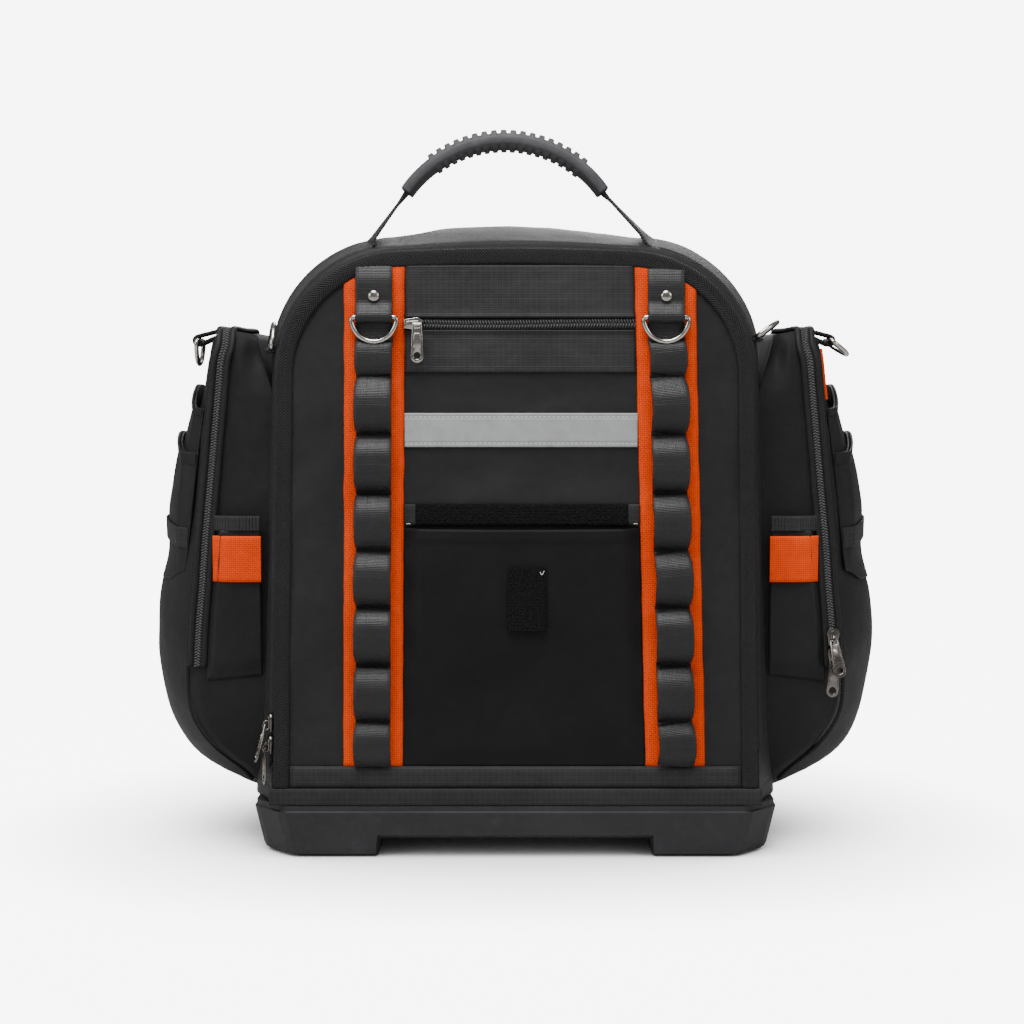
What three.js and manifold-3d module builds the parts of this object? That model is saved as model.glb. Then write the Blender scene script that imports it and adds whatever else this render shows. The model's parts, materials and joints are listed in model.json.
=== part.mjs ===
// Tool backpack. A soft black body stands on a moulded rubber tub, with a pocket hung on each
// flank, two columns of tool loops down the front and a ribbed grip on top.
// Millimetres. Seen from the front, +X is to the right, +Y runs from the front panel to the
// wearer's back and +Z is up. The origin is on the ground under the middle of the bag.

import * as THREE from "three";
import { mergeVertices } from "three/addons/utils/BufferGeometryUtils.js";
import Module from "manifold-3d";

const wasm = await Module();
wasm.setup();

// Clearance between pieces that touch
const GAP = 0.3;

// Body: its widest outline, at mid depth, and the smaller outline of its front edge
const BODY_FRONT = -100;
const BODY_DEPTH = 197;
const BODY_CLOTH = 2.6;
const WIDEST = { half: 189, shoulder: 174, top: 440, crown: 9, radius: 85 };
const EDGE = { half: 171.5, shoulder: 166, top: 428, crown: 2, radius: 88 };
const ARC_STEPS = 6;
const ZIP_BACK_SHARE = 0.072;
const BODY_SECTIONS = [
  // depth: share of BODY_DEPTH from the front. roll: 0 is the widest outline, 1 the edge outline
  { depth: 0.0, roll: 1.0 },
  { depth: 0.03, roll: 1.0 },
  { depth: ZIP_BACK_SHARE, roll: 0.8 },
  { depth: 0.14, roll: 0.47 },
  { depth: 0.22, roll: 0.16 },
  { depth: 0.33, roll: 0.04 },
  { depth: 0.5, roll: 0.0 },
  { depth: 0.72, roll: 0.06 },
  { depth: 0.87, roll: 0.3 },
  { depth: 0.96, roll: 0.72 },
  { depth: 1.0, roll: 1.1 },
];

// Tub: moulded rubber, with a channel from front to back between its two feet
const TUB_HEIGHT = 38;
const TUB_BEYOND_BODY = { side: -1.5, front: 3.2, back: 2 };
const TUB_RIM = {
  half: WIDEST.half + TUB_BEYOND_BODY.side,
  front: BODY_FRONT - TUB_BEYOND_BODY.front,
  back: BODY_FRONT + BODY_DEPTH + TUB_BEYOND_BODY.back,
  corner: 25,
};
const TUB_DRAFT = 7;
const TUB_WALL = 3;
const TUB_FLANGE = 7;
const TUB_FOOT_ROUND = 6;
const TUB_LIP = { height: 4.5, step: 1.4 };
const CHANNEL = { half: 97, height: 11.5, flare: 9 };

// Front panel, its binding and the main zip behind the binding
const PANEL_CLOTH = 3;
const BINDING_WIDTH = 11;
const BINDING_CLOTH = 2.2;
const BINDING_LEG = 1.5;
const ZIP_TAPE = 2.2;
const ZIP_END = { left: 66, right: 78 };
const HEM_HEIGHT = 12.2;
const HEM_CLOTH = 2;
const HEM_STRIP_HEIGHT = 15.7;
const TRIM = 1.5;

// Orange tapes and tool loops, measured on the front panel
const TAPE_WIDTH = 42;
const TAPES = [
  { side: "left", topX: -97.6, bottomX: -100.7 },
  { side: "right", topX: 103, bottomX: 113 },
];
const TAPE_TRIM = 1.5;
const LOOP_WIDTH = 26;
const LOOP_CLOTH = 1.5;
const LOOP_COUNT = 6;
const LOOP_PITCH = 40.4;
const LOOP_BULGE = 9.5;
const LOWEST_CREASE = 99;
const FIRST_LOOP = { height: 21.6, bulge: 4.2 };
const LAST_LOOP_BULGE = 7.5;
const LOOP_STEPS = 6;

// D-rings, their tabs and rivets
const RING = { half: 15.8, drop: 16.9, wire: 3.5, corner: 1.2, sides: 6, steps: 10 };
const RING_BAR_Z = 382.4;
const TAB_CLOTH = 1.6;
const TAB_WIDTH = 26;
const RIVET = { radius: 4, height: 1.8, above: 14.5 };

// Zip pocket, reflective strip, slip pocket and hook tape between the orange tapes
const UPPER_BAND_BOTTOM = 382.6;
const LOWER_BAND_TOP = 373;
const LOWER_BAND_BOTTOM = 344;
const COIL_HEIGHT = 6.6;
const COIL_CLOTH = 2;
const REFLECTIVE = { bottom: 292.3, top: 316, thick: 0.8 };
const SLIP_TOP = 235.5;
const SLIP_GAP = 6;
const SLIP_CLOTH = 1.8;
const HOOK_STRIP = { bottom: 237.5, top: 252.6, inset: 8 };
const HOOK_PATCH = { x: 8, bottom: 163.5, top: 208.5, width: 26.5, thick: 1.4 };

// Zip sliders and their pulls
const SLIDER = { width: 9, length: 12.5, thick: 3.2 };
const LUG = { radius: 2.4, width: 3, bore: 1.3, stand: 3.4 };
const PULL = { top: 6.6, bottom: 9, length: 27, thick: 1.4, pin: 0.95, notch: 3.7, eye: 2.7 };
const FRONT_SLIDER_X = -71;

// Handle: webbing over the shoulders of the body, through a ribbed grip
const STRAP_WIDTH = 25;
const STRAP_CLOTH = 2.2;
const STRAP_DEPTH = 28;
const STRAP_LEAVES = { left: 77, right: 82 };
const STRAP_ENDS_Z = { left: 363, right: 371 };
const GRIP = { x: -7.5, apex: 506, radius: 85, sweep: 54.5, width: 30, core: 8.6, rib: 2.2, ribs: 13 };
const SIDE_RING_LIFT = { left: 98, right: 37 };

// Side pockets. Heights run from POCKET_BOTTOM to POCKET_TOP and reach is measured outwards
// from the body's widest half width.
const POCKET_BOTTOM = 42;
const POCKET_TOP = 376;
const POCKET_REACH = 80;
const POCKET_FRONT = -72;
const POCKET_DEPTH = 140;
const POCKET_CLOTH = 2.2;
const POCKET_CORNER = 13;
const POCKET_TOP_SLOPE = 0.19;
const POCKET_VALLEY = { x: 182.5, z: 369, lean: 15 };
const POCKET_SECTIONS = [
  // up: share of the height. out, corner: shares of POCKET_REACH at mid depth and at the front
  // edge. tuck: share of POCKET_DEPTH lost front and back. slope: share of POCKET_TOP_SLOPE
  { up: 0.0, out: 0.26, corner: 0.02, tuck: 0.15, slope: 0 },
  { up: 0.023, out: 0.5, corner: 0.08, tuck: 0.095, slope: 0 },
  { up: 0.057, out: 0.69, corner: 0.23, tuck: 0.05, slope: 0 },
  { up: 0.103, out: 0.82, corner: 0.43, tuck: 0.02, slope: 0 },
  { up: 0.171, out: 0.92, corner: 0.59, tuck: 0, slope: 0 },
  { up: 0.262, out: 0.985, corner: 0.62, tuck: 0, slope: 0 },
  { up: 0.352, out: 1.0, corner: 0.6, tuck: 0, slope: 0 },
  { up: 0.442, out: 0.95, corner: 0.565, tuck: 0, slope: 0 },
  { up: 0.52, out: 0.84, corner: 0.54, tuck: 0, slope: 0 },
  { up: 0.7, out: 0.705, corner: 0.465, tuck: 0, slope: 0.05 },
  { up: 0.87, out: 0.51, corner: 0.395, tuck: 0, slope: 0.35 },
  { up: 0.965, out: 0.43, corner: 0.35, tuck: 0.02, slope: 0.85 },
  { up: 1.0, out: 0.37, corner: 0.29, tuck: 0.055, slope: 1 },
];
const SIDE_ZIP = { width: 8, thick: 1.6, inset: 9.5, end: 133 };
const SIDE_ZIP_HEIGHTS = [SIDE_ZIP.end, 180, 228, 276, 322, 352];
const SIDE_ZIP_TURN = { in: 2.6, below: 11, across: 8.5 };
const STASH = { bottom: 127, top: 231, gap: 5.4, cloth: 1.6, inset: 3 };
const ELASTIC = { height: 11, thick: 2.4 };
const ORANGE_TAB = { top: 228, height: 33, width: 35, thick: 1.4 };
const SLEEVE_CLOTH = 1.6;
const SLEEVE_EDGE = 20;
const SLEEVE_BOTTOM = 192;
const SLEEVE_TIERS = [
  // Overlapping tiers of the outer pocket, each standing proud of the pocket's face
  { bottom: 192, top: 224, proud: 7.6 },
  { bottom: 223, top: 239, proud: 8.4 },
  { bottom: 238, top: 319, proud: 7.6 },
  { bottom: 318, top: 335, proud: 8.4 },
];
const POCKET_RINGS = [
  // out: measured like POCKET_REACH. dip: degrees that the ring hangs below level
  { side: "left", out: 40.5, dip: 88 },
  { side: "right", out: 38.5, dip: 36 },
];
const POCKET_RING_TAB = { below: 9, behind: 34, reach: 17, width: 16, lean: 14 };

// Back: pad and shoulder straps
const BACK_PAD = { half: 132, bottom: 72, top: 386, radius: 40, thick: 12, crown: 5 };
const SHOULDER_STRAP = { width: 62, thick: 12, webbing: 26, webbingThick: 2.4 };
const SHOULDER_STRAP_ROUTE = [
  // x outwards from the middle, behind the body's back, below its widest top; full: share of the
  // pad's section, 0 where only webbing runs
  { x: 56, behind: 2.4, below: 43, full: 0.45 },
  { x: 57, behind: 12, below: 19, full: 0.75 },
  { x: 59, behind: 25, below: 16, full: 1 },
  { x: 62, behind: 39, below: 30, full: 1 },
  { x: 68, behind: 47, below: 64, full: 1 },
  { x: 77, behind: 49, below: 110, full: 1 },
  { x: 87, behind: 47, below: 156, full: 1 },
  { x: 97, behind: 43, below: 200, full: 1 },
  { x: 107, behind: 38, below: 242, full: 0.95 },
  { x: 113, behind: 34, below: 264, full: 0.6 },
  { x: 116, behind: 32, below: 272, full: 0 },
  { x: 128, behind: 24, below: 310, full: 0 },
  { x: 140, behind: 13, below: 346, full: 0 },
  { x: 147, behind: 4, below: 368, full: 0 },
];

const SIDES = { left: -1, right: 1 };
const BODY_BOTTOM = TUB_HEIGHT + GAP;
const BODY_BACK = BODY_FRONT + BODY_DEPTH;
const FAR = 1000;

const cloth = (color, roughness = 0.9) => new THREE.MeshStandardMaterial({ color, roughness });
const metal = (color) => new THREE.MeshStandardMaterial({ color, roughness: 0.25, metalness: 1 });
const BLACK_CLOTH = cloth(0x232325);
const BLACK_WEBBING = cloth(0x1c1c1e, 0.7);
const ORANGE = cloth(0xe8571a, 0.8);
const REFLECTIVE_GREY = cloth(0xa6a6a6, 0.4);
const HOOK_BLACK = cloth(0x101012, 1);
const ZIP_BLACK = cloth(0x2b2b2d, 0.45);
const RUBBER = cloth(0x404042, 0.6);
const STEEL = metal(0xb9b6b0);
const GUNMETAL = metal(0x6a625c);

// Solids

// Turns points and triangles into a closed solid that faces outwards.
function solidOf(points, faces) {
  let volume = 0;
  for (let i = 0; i < faces.length; i += 3) {
    const [a, b, c] = [points[faces[i]], points[faces[i + 1]], points[faces[i + 2]]];
    volume += a.dot(new THREE.Vector3().crossVectors(b, c));
  }
  const triVerts = Uint32Array.from(faces);
  if (volume < 0) triVerts.reverse();
  const vertProperties = Float32Array.from(points.flatMap((p) => [p.x, p.y, p.z]));
  return new wasm.Manifold(new wasm.Mesh({ numProp: 3, vertProperties, triVerts }));
}

// A closed three.js geometry as a solid.
function solidFrom(geometry) {
  const bare = geometry.clone();
  bare.deleteAttribute("normal");
  bare.deleteAttribute("uv");
  const merged = mergeVertices(bare, 1e-4);
  const position = merged.getAttribute("position");
  const points = Array.from({ length: position.count }, (_, i) =>
    new THREE.Vector3().fromBufferAttribute(position, i),
  );
  return solidOf(points, Array.from(merged.index.array));
}

// The walls between rings of equal length.
function wallFaces(ringCount, count, closed) {
  const faces = [];
  for (let r = 0; r < (closed ? ringCount : ringCount - 1); r++) {
    const here = r * count;
    const next = ((r + 1) % ringCount) * count;
    for (let i = 0; i < count; i++) {
      const j = (i + 1) % count;
      faces.push(here + i, here + j, next + j, here + i, next + j, next + i);
    }
  }
  return faces;
}

// A solid through rings of equal length. Each end is closed by a fan from its middle.
function loft(rings) {
  const count = rings[0].length;
  const points = rings.flat();
  const faces = wallFaces(rings.length, count, false);
  for (const [ring, first] of [[rings[0], 0], [rings[rings.length - 1], points.length - count]]) {
    const middle = ring.reduce((sum, p) => sum.add(p), new THREE.Vector3()).divideScalar(count);
    const hub = points.push(middle) - 1;
    for (let i = 0; i < count; i++) {
      const edge = [first + i, first + ((i + 1) % count)];
      faces.push(hub, ...(first === 0 ? edge.reverse() : edge));
    }
  }
  return solidOf(points, faces);
}

// A solid through rings that run round and meet.
function loop(rings) {
  return solidOf(rings.flat(), wallFaces(rings.length, rings[0].length, true));
}

function block(x0, x1, y0, y1, z0, z1) {
  const box = new THREE.BoxGeometry(x1 - x0, y1 - y0, z1 - z0);
  return solidFrom(box.translate((x0 + x1) / 2, (y0 + y1) / 2, (z0 + z1) / 2));
}

const belowHeight = (z) => block(-FAR, FAR, -FAR, FAR, -FAR, z);
const betweenHeights = (z0, z1) => block(-FAR, FAR, -FAR, FAR, z0, z1);
const betweenDepths = (y0, y1) => block(-FAR, FAR, y0, y1, -FAR, FAR);

// A flat band through stations, each with its middle, the way across and the way through it.
function band(stations, width, thickness) {
  const corners = [[-1, -1], [1, -1], [1, 1], [-1, 1]];
  return loft(
    stations.map(({ at, across, through }) =>
      corners.map(([u, v]) =>
        at
          .clone()
          .addScaledVector(across, (u * width) / 2)
          .addScaledVector(through, (v * thickness) / 2),
      ),
    ),
  );
}

// A round bar along X, centred on the origin.
function barX(radius, length, sides) {
  return solidFrom(new THREE.CylinderGeometry(radius, radius, length, sides).rotateZ(Math.PI / 2));
}

// Scene graph

const bag = new THREE.Group();

function addPiece(name, solid, material, pivot = new THREE.Vector3(), rotation = null) {
  const made = solid.getMesh();
  const geometry = new THREE.BufferGeometry();
  const position = new Float32Array(made.numVert * 3);
  for (let i = 0; i < made.numVert; i++)
    position.set(made.vertProperties.subarray(i * made.numProp, i * made.numProp + 3), i * 3);
  geometry.setAttribute("position", new THREE.BufferAttribute(position, 3));
  geometry.setIndex(new THREE.BufferAttribute(made.triVerts.slice(), 1));
  geometry.computeVertexNormals();
  const mesh = new THREE.Mesh(geometry, material);
  mesh.name = name;
  mesh.position.copy(pivot);
  if (rotation) mesh.quaternion.copy(rotation);
  bag.add(mesh);
  return mesh;
}

// Body

const mix = (a, b, share) => a + (b - a) * share;

// The body's outline at one roll, grown outwards, as [x, z] from the lower left over the top.
function bodyOutline(roll, grow, bottom) {
  const size = {};
  for (const key of Object.keys(WIDEST)) size[key] = mix(WIDEST[key], EDGE[key], roll);
  const centreX = size.shoulder - size.radius;
  const centreZ = size.top - size.radius;
  const radius = size.radius + grow;
  const sideX = (z) => mix(size.half, size.shoulder, (z - BODY_BOTTOM) / (centreZ - BODY_BOTTOM)) + grow;
  const right = [bottom, mix(BODY_BOTTOM, centreZ, 0.45)].map((z) => [sideX(z), z]);
  for (let i = 0; i <= ARC_STEPS; i++) {
    const angle = ((i / ARC_STEPS) * Math.PI) / 2;
    right.push([centreX + radius * Math.cos(angle), centreZ + radius * Math.sin(angle)]);
  }
  for (const share of [0.7, 0.35])
    right.push([centreX * share, size.top + grow + size.crown * (1 - share * share)]);
  const left = right.map(([x, z]) => [-x, z]);
  return [...left, [0, size.top + grow + size.crown], ...right.reverse()];
}

function rollAt(depth) {
  const share = depth / BODY_DEPTH;
  const next = BODY_SECTIONS.findIndex((row) => row.depth >= share);
  const [a, b] = [BODY_SECTIONS[Math.max(next - 1, 0)], BODY_SECTIONS[next]];
  return a === b ? a.roll : mix(a.roll, b.roll, (share - a.depth) / (b.depth - a.depth));
}

// The body's whole outer form, grown outwards, from its bottom edge up.
function bodyForm(grow, bottom = BODY_BOTTOM) {
  return loft(
    BODY_SECTIONS.map(({ depth, roll }, i) => {
      const end = i === 0 ? -grow : i === BODY_SECTIONS.length - 1 ? grow : 0;
      const y = BODY_FRONT + depth * BODY_DEPTH + end;
      return bodyOutline(roll, grow, bottom).map(([x, z]) => new THREE.Vector3(x, y, z));
    }),
  );
}

// A slab of the front edge's outline between two depths.
function edgeSlab(y0, y1, grow, bottom) {
  return loft(
    [y0, y1].map((y) => bodyOutline(1, grow, bottom).map(([x, z]) => new THREE.Vector3(x, y, z))),
  );
}

const bodySolid = bodyForm(GAP);
const panelBack = BODY_FRONT + PANEL_CLOTH;
const gussetFront = panelBack + GAP + BINDING_LEG + GAP;
const zipDepths = [gussetFront, BODY_FRONT + ZIP_BACK_SHARE * BODY_DEPTH];
const hemTop = BODY_BOTTOM + HEM_HEIGHT;
const panelBottom = hemTop + GAP;

function addBody() {
  const walls = bodyForm(0).subtract(bodyForm(-BODY_CLOTH, BODY_BOTTOM - 10));
  const behindZip = walls.intersect(betweenDepths(zipDepths[1] + GAP, FAR));
  const sideBelow = (side) => {
    const [x0, x1] = side === "left" ? [-FAR, 0] : [0, FAR];
    const lower = block(x0, x1, -FAR, FAR, -FAR, ZIP_END[side] - GAP);
    return walls.intersect(lower).intersect(betweenDepths(gussetFront, FAR));
  };
  addPiece("body_shell", behindZip.add(sideBelow("left")).add(sideBelow("right")), BLACK_CLOTH);

  const zip = bodyForm(0)
    .subtract(bodyForm(-ZIP_TAPE, BODY_BOTTOM - 10))
    .intersect(betweenDepths(...zipDepths))
    .subtract(block(-FAR, 0, -FAR, FAR, -FAR, ZIP_END.left))
    .subtract(block(0, FAR, -FAR, FAR, -FAR, ZIP_END.right));
  addPiece("main_zip", zip, ZIP_BLACK);

  const hem = bodyForm(GAP + HEM_CLOTH).subtract(bodySolid).intersect(betweenHeights(BODY_BOTTOM, hemTop));
  addPiece("base_hem", hem, BLACK_WEBBING);
}

function addFrontPanel() {
  const edge = BINDING_CLOTH + GAP;
  addPiece("front_panel", edgeSlab(BODY_FRONT, panelBack, -edge, BODY_BOTTOM), BLACK_CLOTH);

  const face = BODY_FRONT - GAP - BINDING_CLOTH;
  const back = panelBack + GAP + BINDING_LEG;
  const binding = edgeSlab(face, back, 0, panelBottom)
    .subtract(edgeSlab(face - 1, back + 1, -BINDING_WIDTH, panelBottom - 10))
    .subtract(edgeSlab(BODY_FRONT - GAP, panelBack + GAP, -edge + GAP, panelBottom - 10));
  addPiece("front_binding", binding, BLACK_WEBBING);

  const strip = edgeSlab(BODY_FRONT - GAP - TRIM, BODY_FRONT - GAP, -BINDING_WIDTH - GAP, panelBottom);
  addPiece("hem_strip", strip.intersect(belowHeight(hemStripTop)), BLACK_WEBBING);
}

const hemStripTop = panelBottom + HEM_STRIP_HEIGHT;
const trimBottom = hemStripTop + GAP;
const trimBack = BODY_FRONT - GAP;
const tapeFace = trimBack - TAPE_TRIM;

// Tub

// The tub's outline at a height, moved inwards, with cut corners.
function tubRing(z, inset, cornerInset = 0) {
  const { half, front, back, corner } = TUB_RIM;
  const cut = corner + cornerInset - inset * (2 - Math.SQRT2);
  const [x, y0, y1] = [half - inset, front + inset, back - inset];
  const round = cut * 0.25;
  const quarter = [
    [x, y1 - cut],
    [x - round * 0.6, y1 - cut + round],
    [x - cut + round, y1 - round * 0.6],
    [x - cut, y1],
  ];
  const right = [...quarter.map(([px, py]) => [px, y0 + y1 - py]).reverse(), ...quarter];
  const left = right.map(([px, py]) => [-px, py]).reverse();
  return [...right, ...left].map(([px, py]) => new THREE.Vector3(px, py, z));
}

// The channel under the tub, with its mouths flared, or the ridge it makes inside.
function tubChannel(height, half, flare) {
  const { front, back } = TUB_RIM;
  const mouth = flare * 1.6;
  const section = (y, grow) => {
    const [top, side] = [height + grow, half + grow * 0.4];
    return [[-side - 2, -5], [side + 2, -5], [side - 1, top], [-side + 1, top]].map(
      ([x, z]) => new THREE.Vector3(x, y, z),
    );
  };
  return loft([
    section(front - 5, flare),
    section(front + mouth, 0),
    section(back - mouth, 0),
    section(back + 5, flare),
  ]);
}

function addTub() {
  const shoulder = TUB_HEIGHT - TUB_LIP.height;
  const draftAt = (z) => TUB_DRAFT * (1 - z / shoulder);
  const outer = loft([
    tubRing(0, TUB_DRAFT + TUB_FOOT_ROUND * 0.8, 4),
    tubRing(TUB_FOOT_ROUND * 0.35, draftAt(TUB_FOOT_ROUND) + 1.4, 3),
    tubRing(TUB_FOOT_ROUND, draftAt(TUB_FOOT_ROUND), 2),
    tubRing(shoulder, 0),
    tubRing(shoulder + 0.8, TUB_LIP.step),
    tubRing(TUB_HEIGHT, TUB_LIP.step),
  ]);
  const inner = loft([
    tubRing(TUB_WALL, TUB_DRAFT + TUB_WALL + 2),
    tubRing(TUB_HEIGHT - TUB_FLANGE, TUB_WALL + 1),
    tubRing(TUB_HEIGHT - TUB_FLANGE * 0.4, TUB_FLANGE + 1),
    tubRing(TUB_HEIGHT + 1, TUB_FLANGE + 1),
  ]);
  const ridge = tubChannel(CHANNEL.height + TUB_WALL, CHANNEL.half + TUB_WALL, CHANNEL.flare);
  const channel = tubChannel(CHANNEL.height, CHANNEL.half, CHANNEL.flare);
  addPiece("base_tub", outer.subtract(inner.subtract(ridge)).subtract(channel), RUBBER);
}

// Front trim

const tapeX = ({ topX, bottomX }, z) => mix(bottomX, topX, (z - trimBottom) / (EDGE.top - trimBottom));

// A flat piece on the front panel between two heights, its sides following x at each height.
function trimPiece(leftAt, rightAt, z0, z1, thick, back = trimBack) {
  const ring = (z) => [
    [leftAt(z), back],
    [rightAt(z), back],
    [rightAt(z), back - thick],
    [leftAt(z), back - thick],
  ];
  return loft([z0, z1].map((z) => ring(z).map(([x, y]) => new THREE.Vector3(x, y, z))));
}

const insideBinding = edgeSlab(-FAR, FAR, -BINDING_WIDTH - GAP, trimBottom);
const pastBinding = EDGE.top + 5;

// One column of tool loops: webbing that bows out from crease to crease.
function loopColumn(tape, topZ) {
  const seat = tapeFace - GAP - LOOP_CLOTH / 2;
  const creaseAt = (k) => LOWEST_CREASE + k * LOOP_PITCH;
  const profile = [[topZ, 0]];
  const addLoop = (from, to, bulge) => {
    for (let i = 0; i < LOOP_STEPS; i++) {
      const share = i / LOOP_STEPS;
      const droop = share + 0.07 * Math.sin(2 * Math.PI * share);
      profile.push([mix(from, to, share), bulge * Math.sin(Math.PI * droop) ** 0.7]);
    }
  };
  addLoop(creaseAt(LOOP_COUNT) + FIRST_LOOP.height, creaseAt(LOOP_COUNT), FIRST_LOOP.bulge);
  for (let k = LOOP_COUNT; k > 0; k--) addLoop(creaseAt(k), creaseAt(k - 1), LOOP_BULGE);
  addLoop(LOWEST_CREASE, trimBottom, LAST_LOOP_BULGE);
  profile.push([trimBottom, 0]);
  const middle = profile.map(([z, bulge]) => new THREE.Vector3(tapeX(tape, z), seat - bulge, z));
  const across = new THREE.Vector3(1, 0, 0);
  return band(
    middle.map((at, i) => {
      const before = middle[Math.max(i - 1, 0)];
      const after = middle[Math.min(i + 1, middle.length - 1)];
      const along = new THREE.Vector3().subVectors(after, before).setX(0).normalize();
      return { at, across, through: new THREE.Vector3().crossVectors(along, across) };
    }),
    LOOP_WIDTH,
    LOOP_CLOTH,
  );
}

const ringBore = RING.wire / 2 + 1.6 * GAP;
const tabRound = ringBore + TAB_CLOTH;

// A tab folded round a D-ring's bar. The bar lies on the X axis and the tab rises along Z with
// its back at y = tabRound.
function ringTab(height, width) {
  const shape = new THREE.Shape();
  const face = tabRound - 2 * TAB_CLOTH;
  shape.moveTo(tabRound, 0);
  shape.lineTo(tabRound, height);
  shape.lineTo(face, height);
  shape.lineTo(face, 9);
  shape.lineTo(-tabRound, 1);
  shape.absarc(0, 0, tabRound, Math.PI, 2 * Math.PI, false);
  const hole = new THREE.Path();
  hole.absarc(0, 0, ringBore, 0, 2 * Math.PI, true);
  shape.holes.push(hole);
  const made = new THREE.ExtrudeGeometry(shape, { depth: width, bevelEnabled: false, curveSegments: 6 });
  const upright = new THREE.Matrix4().makeBasis(
    new THREE.Vector3(0, 1, 0),
    new THREE.Vector3(0, 0, 1),
    new THREE.Vector3(1, 0, 0),
  );
  return solidFrom(made.translate(0, 0, -width / 2).applyMatrix4(upright));
}

// A wire D: its bar lies on the X axis and its bow hangs along -Z.
function dRing() {
  const { half, drop, wire, corner, sides, steps } = RING;
  const path = [[-half + corner, 0], [0, 0], [half - corner, 0]];
  for (let i = 0; i <= steps; i++) {
    const angle = mix(0.12, Math.PI - 0.12, i / steps);
    path.push([half * Math.cos(angle), -drop * Math.sin(angle)]);
  }
  return loop(
    path.map(([x, z], i) => {
      const before = path[(i + path.length - 1) % path.length];
      const after = path[(i + 1) % path.length];
      const along = new THREE.Vector2(after[0] - before[0], after[1] - before[1]).normalize();
      return Array.from({ length: sides }, (_, s) => {
        const angle = (s / sides) * 2 * Math.PI;
        const reach = (wire / 2) * Math.cos(angle);
        return new THREE.Vector3(
          x + along.y * reach,
          (wire / 2) * Math.sin(angle),
          z - along.x * reach,
        );
      });
    }),
  );
}

// The turn that lays a ring's bar along `bar` and hangs its bow along `bow`.
function ringTurn(bar, bow) {
  const side = new THREE.Vector3().crossVectors(bar, bow);
  const basis = new THREE.Matrix4().makeBasis(bar, side, bow.clone().negate());
  return new THREE.Quaternion().setFromRotationMatrix(basis);
}

function addToolColumns() {
  for (const tape of TAPES) {
    const leftAt = (z) => tapeX(tape, z) - TAPE_WIDTH / 2;
    const rightAt = (z) => tapeX(tape, z) + TAPE_WIDTH / 2;
    const orange = trimPiece(leftAt, rightAt, trimBottom, pastBinding, TAPE_TRIM);
    addPiece(`orange_tape_${tape.side}`, orange.intersect(insideBinding), ORANGE);

    const barX0 = tapeX(tape, RING_BAR_Z);
    const pivot = new THREE.Vector3(barX0, tapeFace - GAP - tabRound, RING_BAR_Z);
    const loopTop = RING_BAR_Z - tabRound - GAP;
    addPiece(`tool_loops_${tape.side}`, loopColumn(tape, loopTop), BLACK_WEBBING);

    const tab = ringTab(EDGE.top - RING_BAR_Z, TAB_WIDTH).translate(pivot.x, pivot.y, pivot.z);
    addPiece(`ring_tab_${tape.side}`, tab.intersect(insideBinding), BLACK_WEBBING);
    addPiece(`d_ring_front_${tape.side}`, dRing(), STEEL, pivot);

    const dome = new THREE.LatheGeometry(
      [[0, 0], [RIVET.radius, 0], [RIVET.radius * 0.8, RIVET.height * 0.7], [0, RIVET.height]].map(
        ([r, h]) => new THREE.Vector2(r, h),
      ),
      12,
    ).rotateX(Math.PI);
    const rivetY = pivot.y + tabRound - 2 * TAB_CLOTH - GAP;
    addPiece(
      `rivet_${tape.side}`,
      solidFrom(dome).translate(barX0, rivetY, RING_BAR_Z + RIVET.above),
      GUNMETAL,
    );
  }
}

function addFrontFields() {
  const [leftTape, rightTape] = TAPES;
  const leftAt = (z) => tapeX(leftTape, z) + TAPE_WIDTH / 2 + GAP;
  const rightAt = (z) => tapeX(rightTape, z) - TAPE_WIDTH / 2 - GAP;
  const field = (z0, z1, thick) => trimPiece(leftAt, rightAt, z0, z1, thick);

  const upperBand = field(UPPER_BAND_BOTTOM, pastBinding, TRIM).intersect(insideBinding);
  addPiece("zip_band_upper", upperBand, BLACK_WEBBING);
  addPiece("zip_band_lower", field(LOWER_BAND_BOTTOM, LOWER_BAND_TOP, TRIM), BLACK_WEBBING);
  const coilZ = (UPPER_BAND_BOTTOM + LOWER_BAND_TOP) / 2;
  addPiece("front_zip", field(coilZ - COIL_HEIGHT / 2, coilZ + COIL_HEIGHT / 2, COIL_CLOTH), ZIP_BLACK);
  addPiece("reflective_strip", field(REFLECTIVE.bottom, REFLECTIVE.top, REFLECTIVE.thick), REFLECTIVE_GREY);

  const slipBottom = trimBottom;
  const outer = field(slipBottom, SLIP_TOP, SLIP_GAP + SLIP_CLOTH);
  const room = trimPiece(
    (z) => leftAt(z) + SLIP_CLOTH,
    (z) => rightAt(z) - SLIP_CLOTH,
    slipBottom + SLIP_CLOTH,
    SLIP_TOP + 5,
    SLIP_GAP,
    trimBack,
  );
  const behind = trimPiece(
    (z) => leftAt(z) + SLIP_CLOTH,
    (z) => rightAt(z) - SLIP_CLOTH,
    slipBottom + SLIP_CLOTH,
    SLIP_TOP + 5,
    1,
    trimBack + 1,
  );
  addPiece("slip_pocket", outer.subtract(room.add(behind)), BLACK_CLOTH);

  const hook = trimPiece(
    (z) => leftAt(z) + HOOK_STRIP.inset,
    (z) => rightAt(z) - HOOK_STRIP.inset,
    HOOK_STRIP.bottom,
    HOOK_STRIP.top,
    TRIM,
  );
  addPiece("hook_strip", hook, HOOK_BLACK);

  const slipFace = trimBack - SLIP_GAP - SLIP_CLOTH - GAP;
  const { x, bottom, top, width, thick } = HOOK_PATCH;
  const patch = block(x - width / 2, x + width / 2, slipFace - thick, slipFace, bottom, top);
  addPiece("hook_patch", patch, HOOK_BLACK);

  const sliderFace = trimBack - COIL_CLOTH - GAP;
  addSlider("front_zip", new THREE.Vector3(FRONT_SLIDER_X, sliderFace, coilZ), {
    facing: new THREE.Vector3(0, -1, 0),
    along: new THREE.Vector3(1, 0, 0),
    lugAt: 3,
    swing: 0,
    tilt: 0,
  });
}

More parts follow.
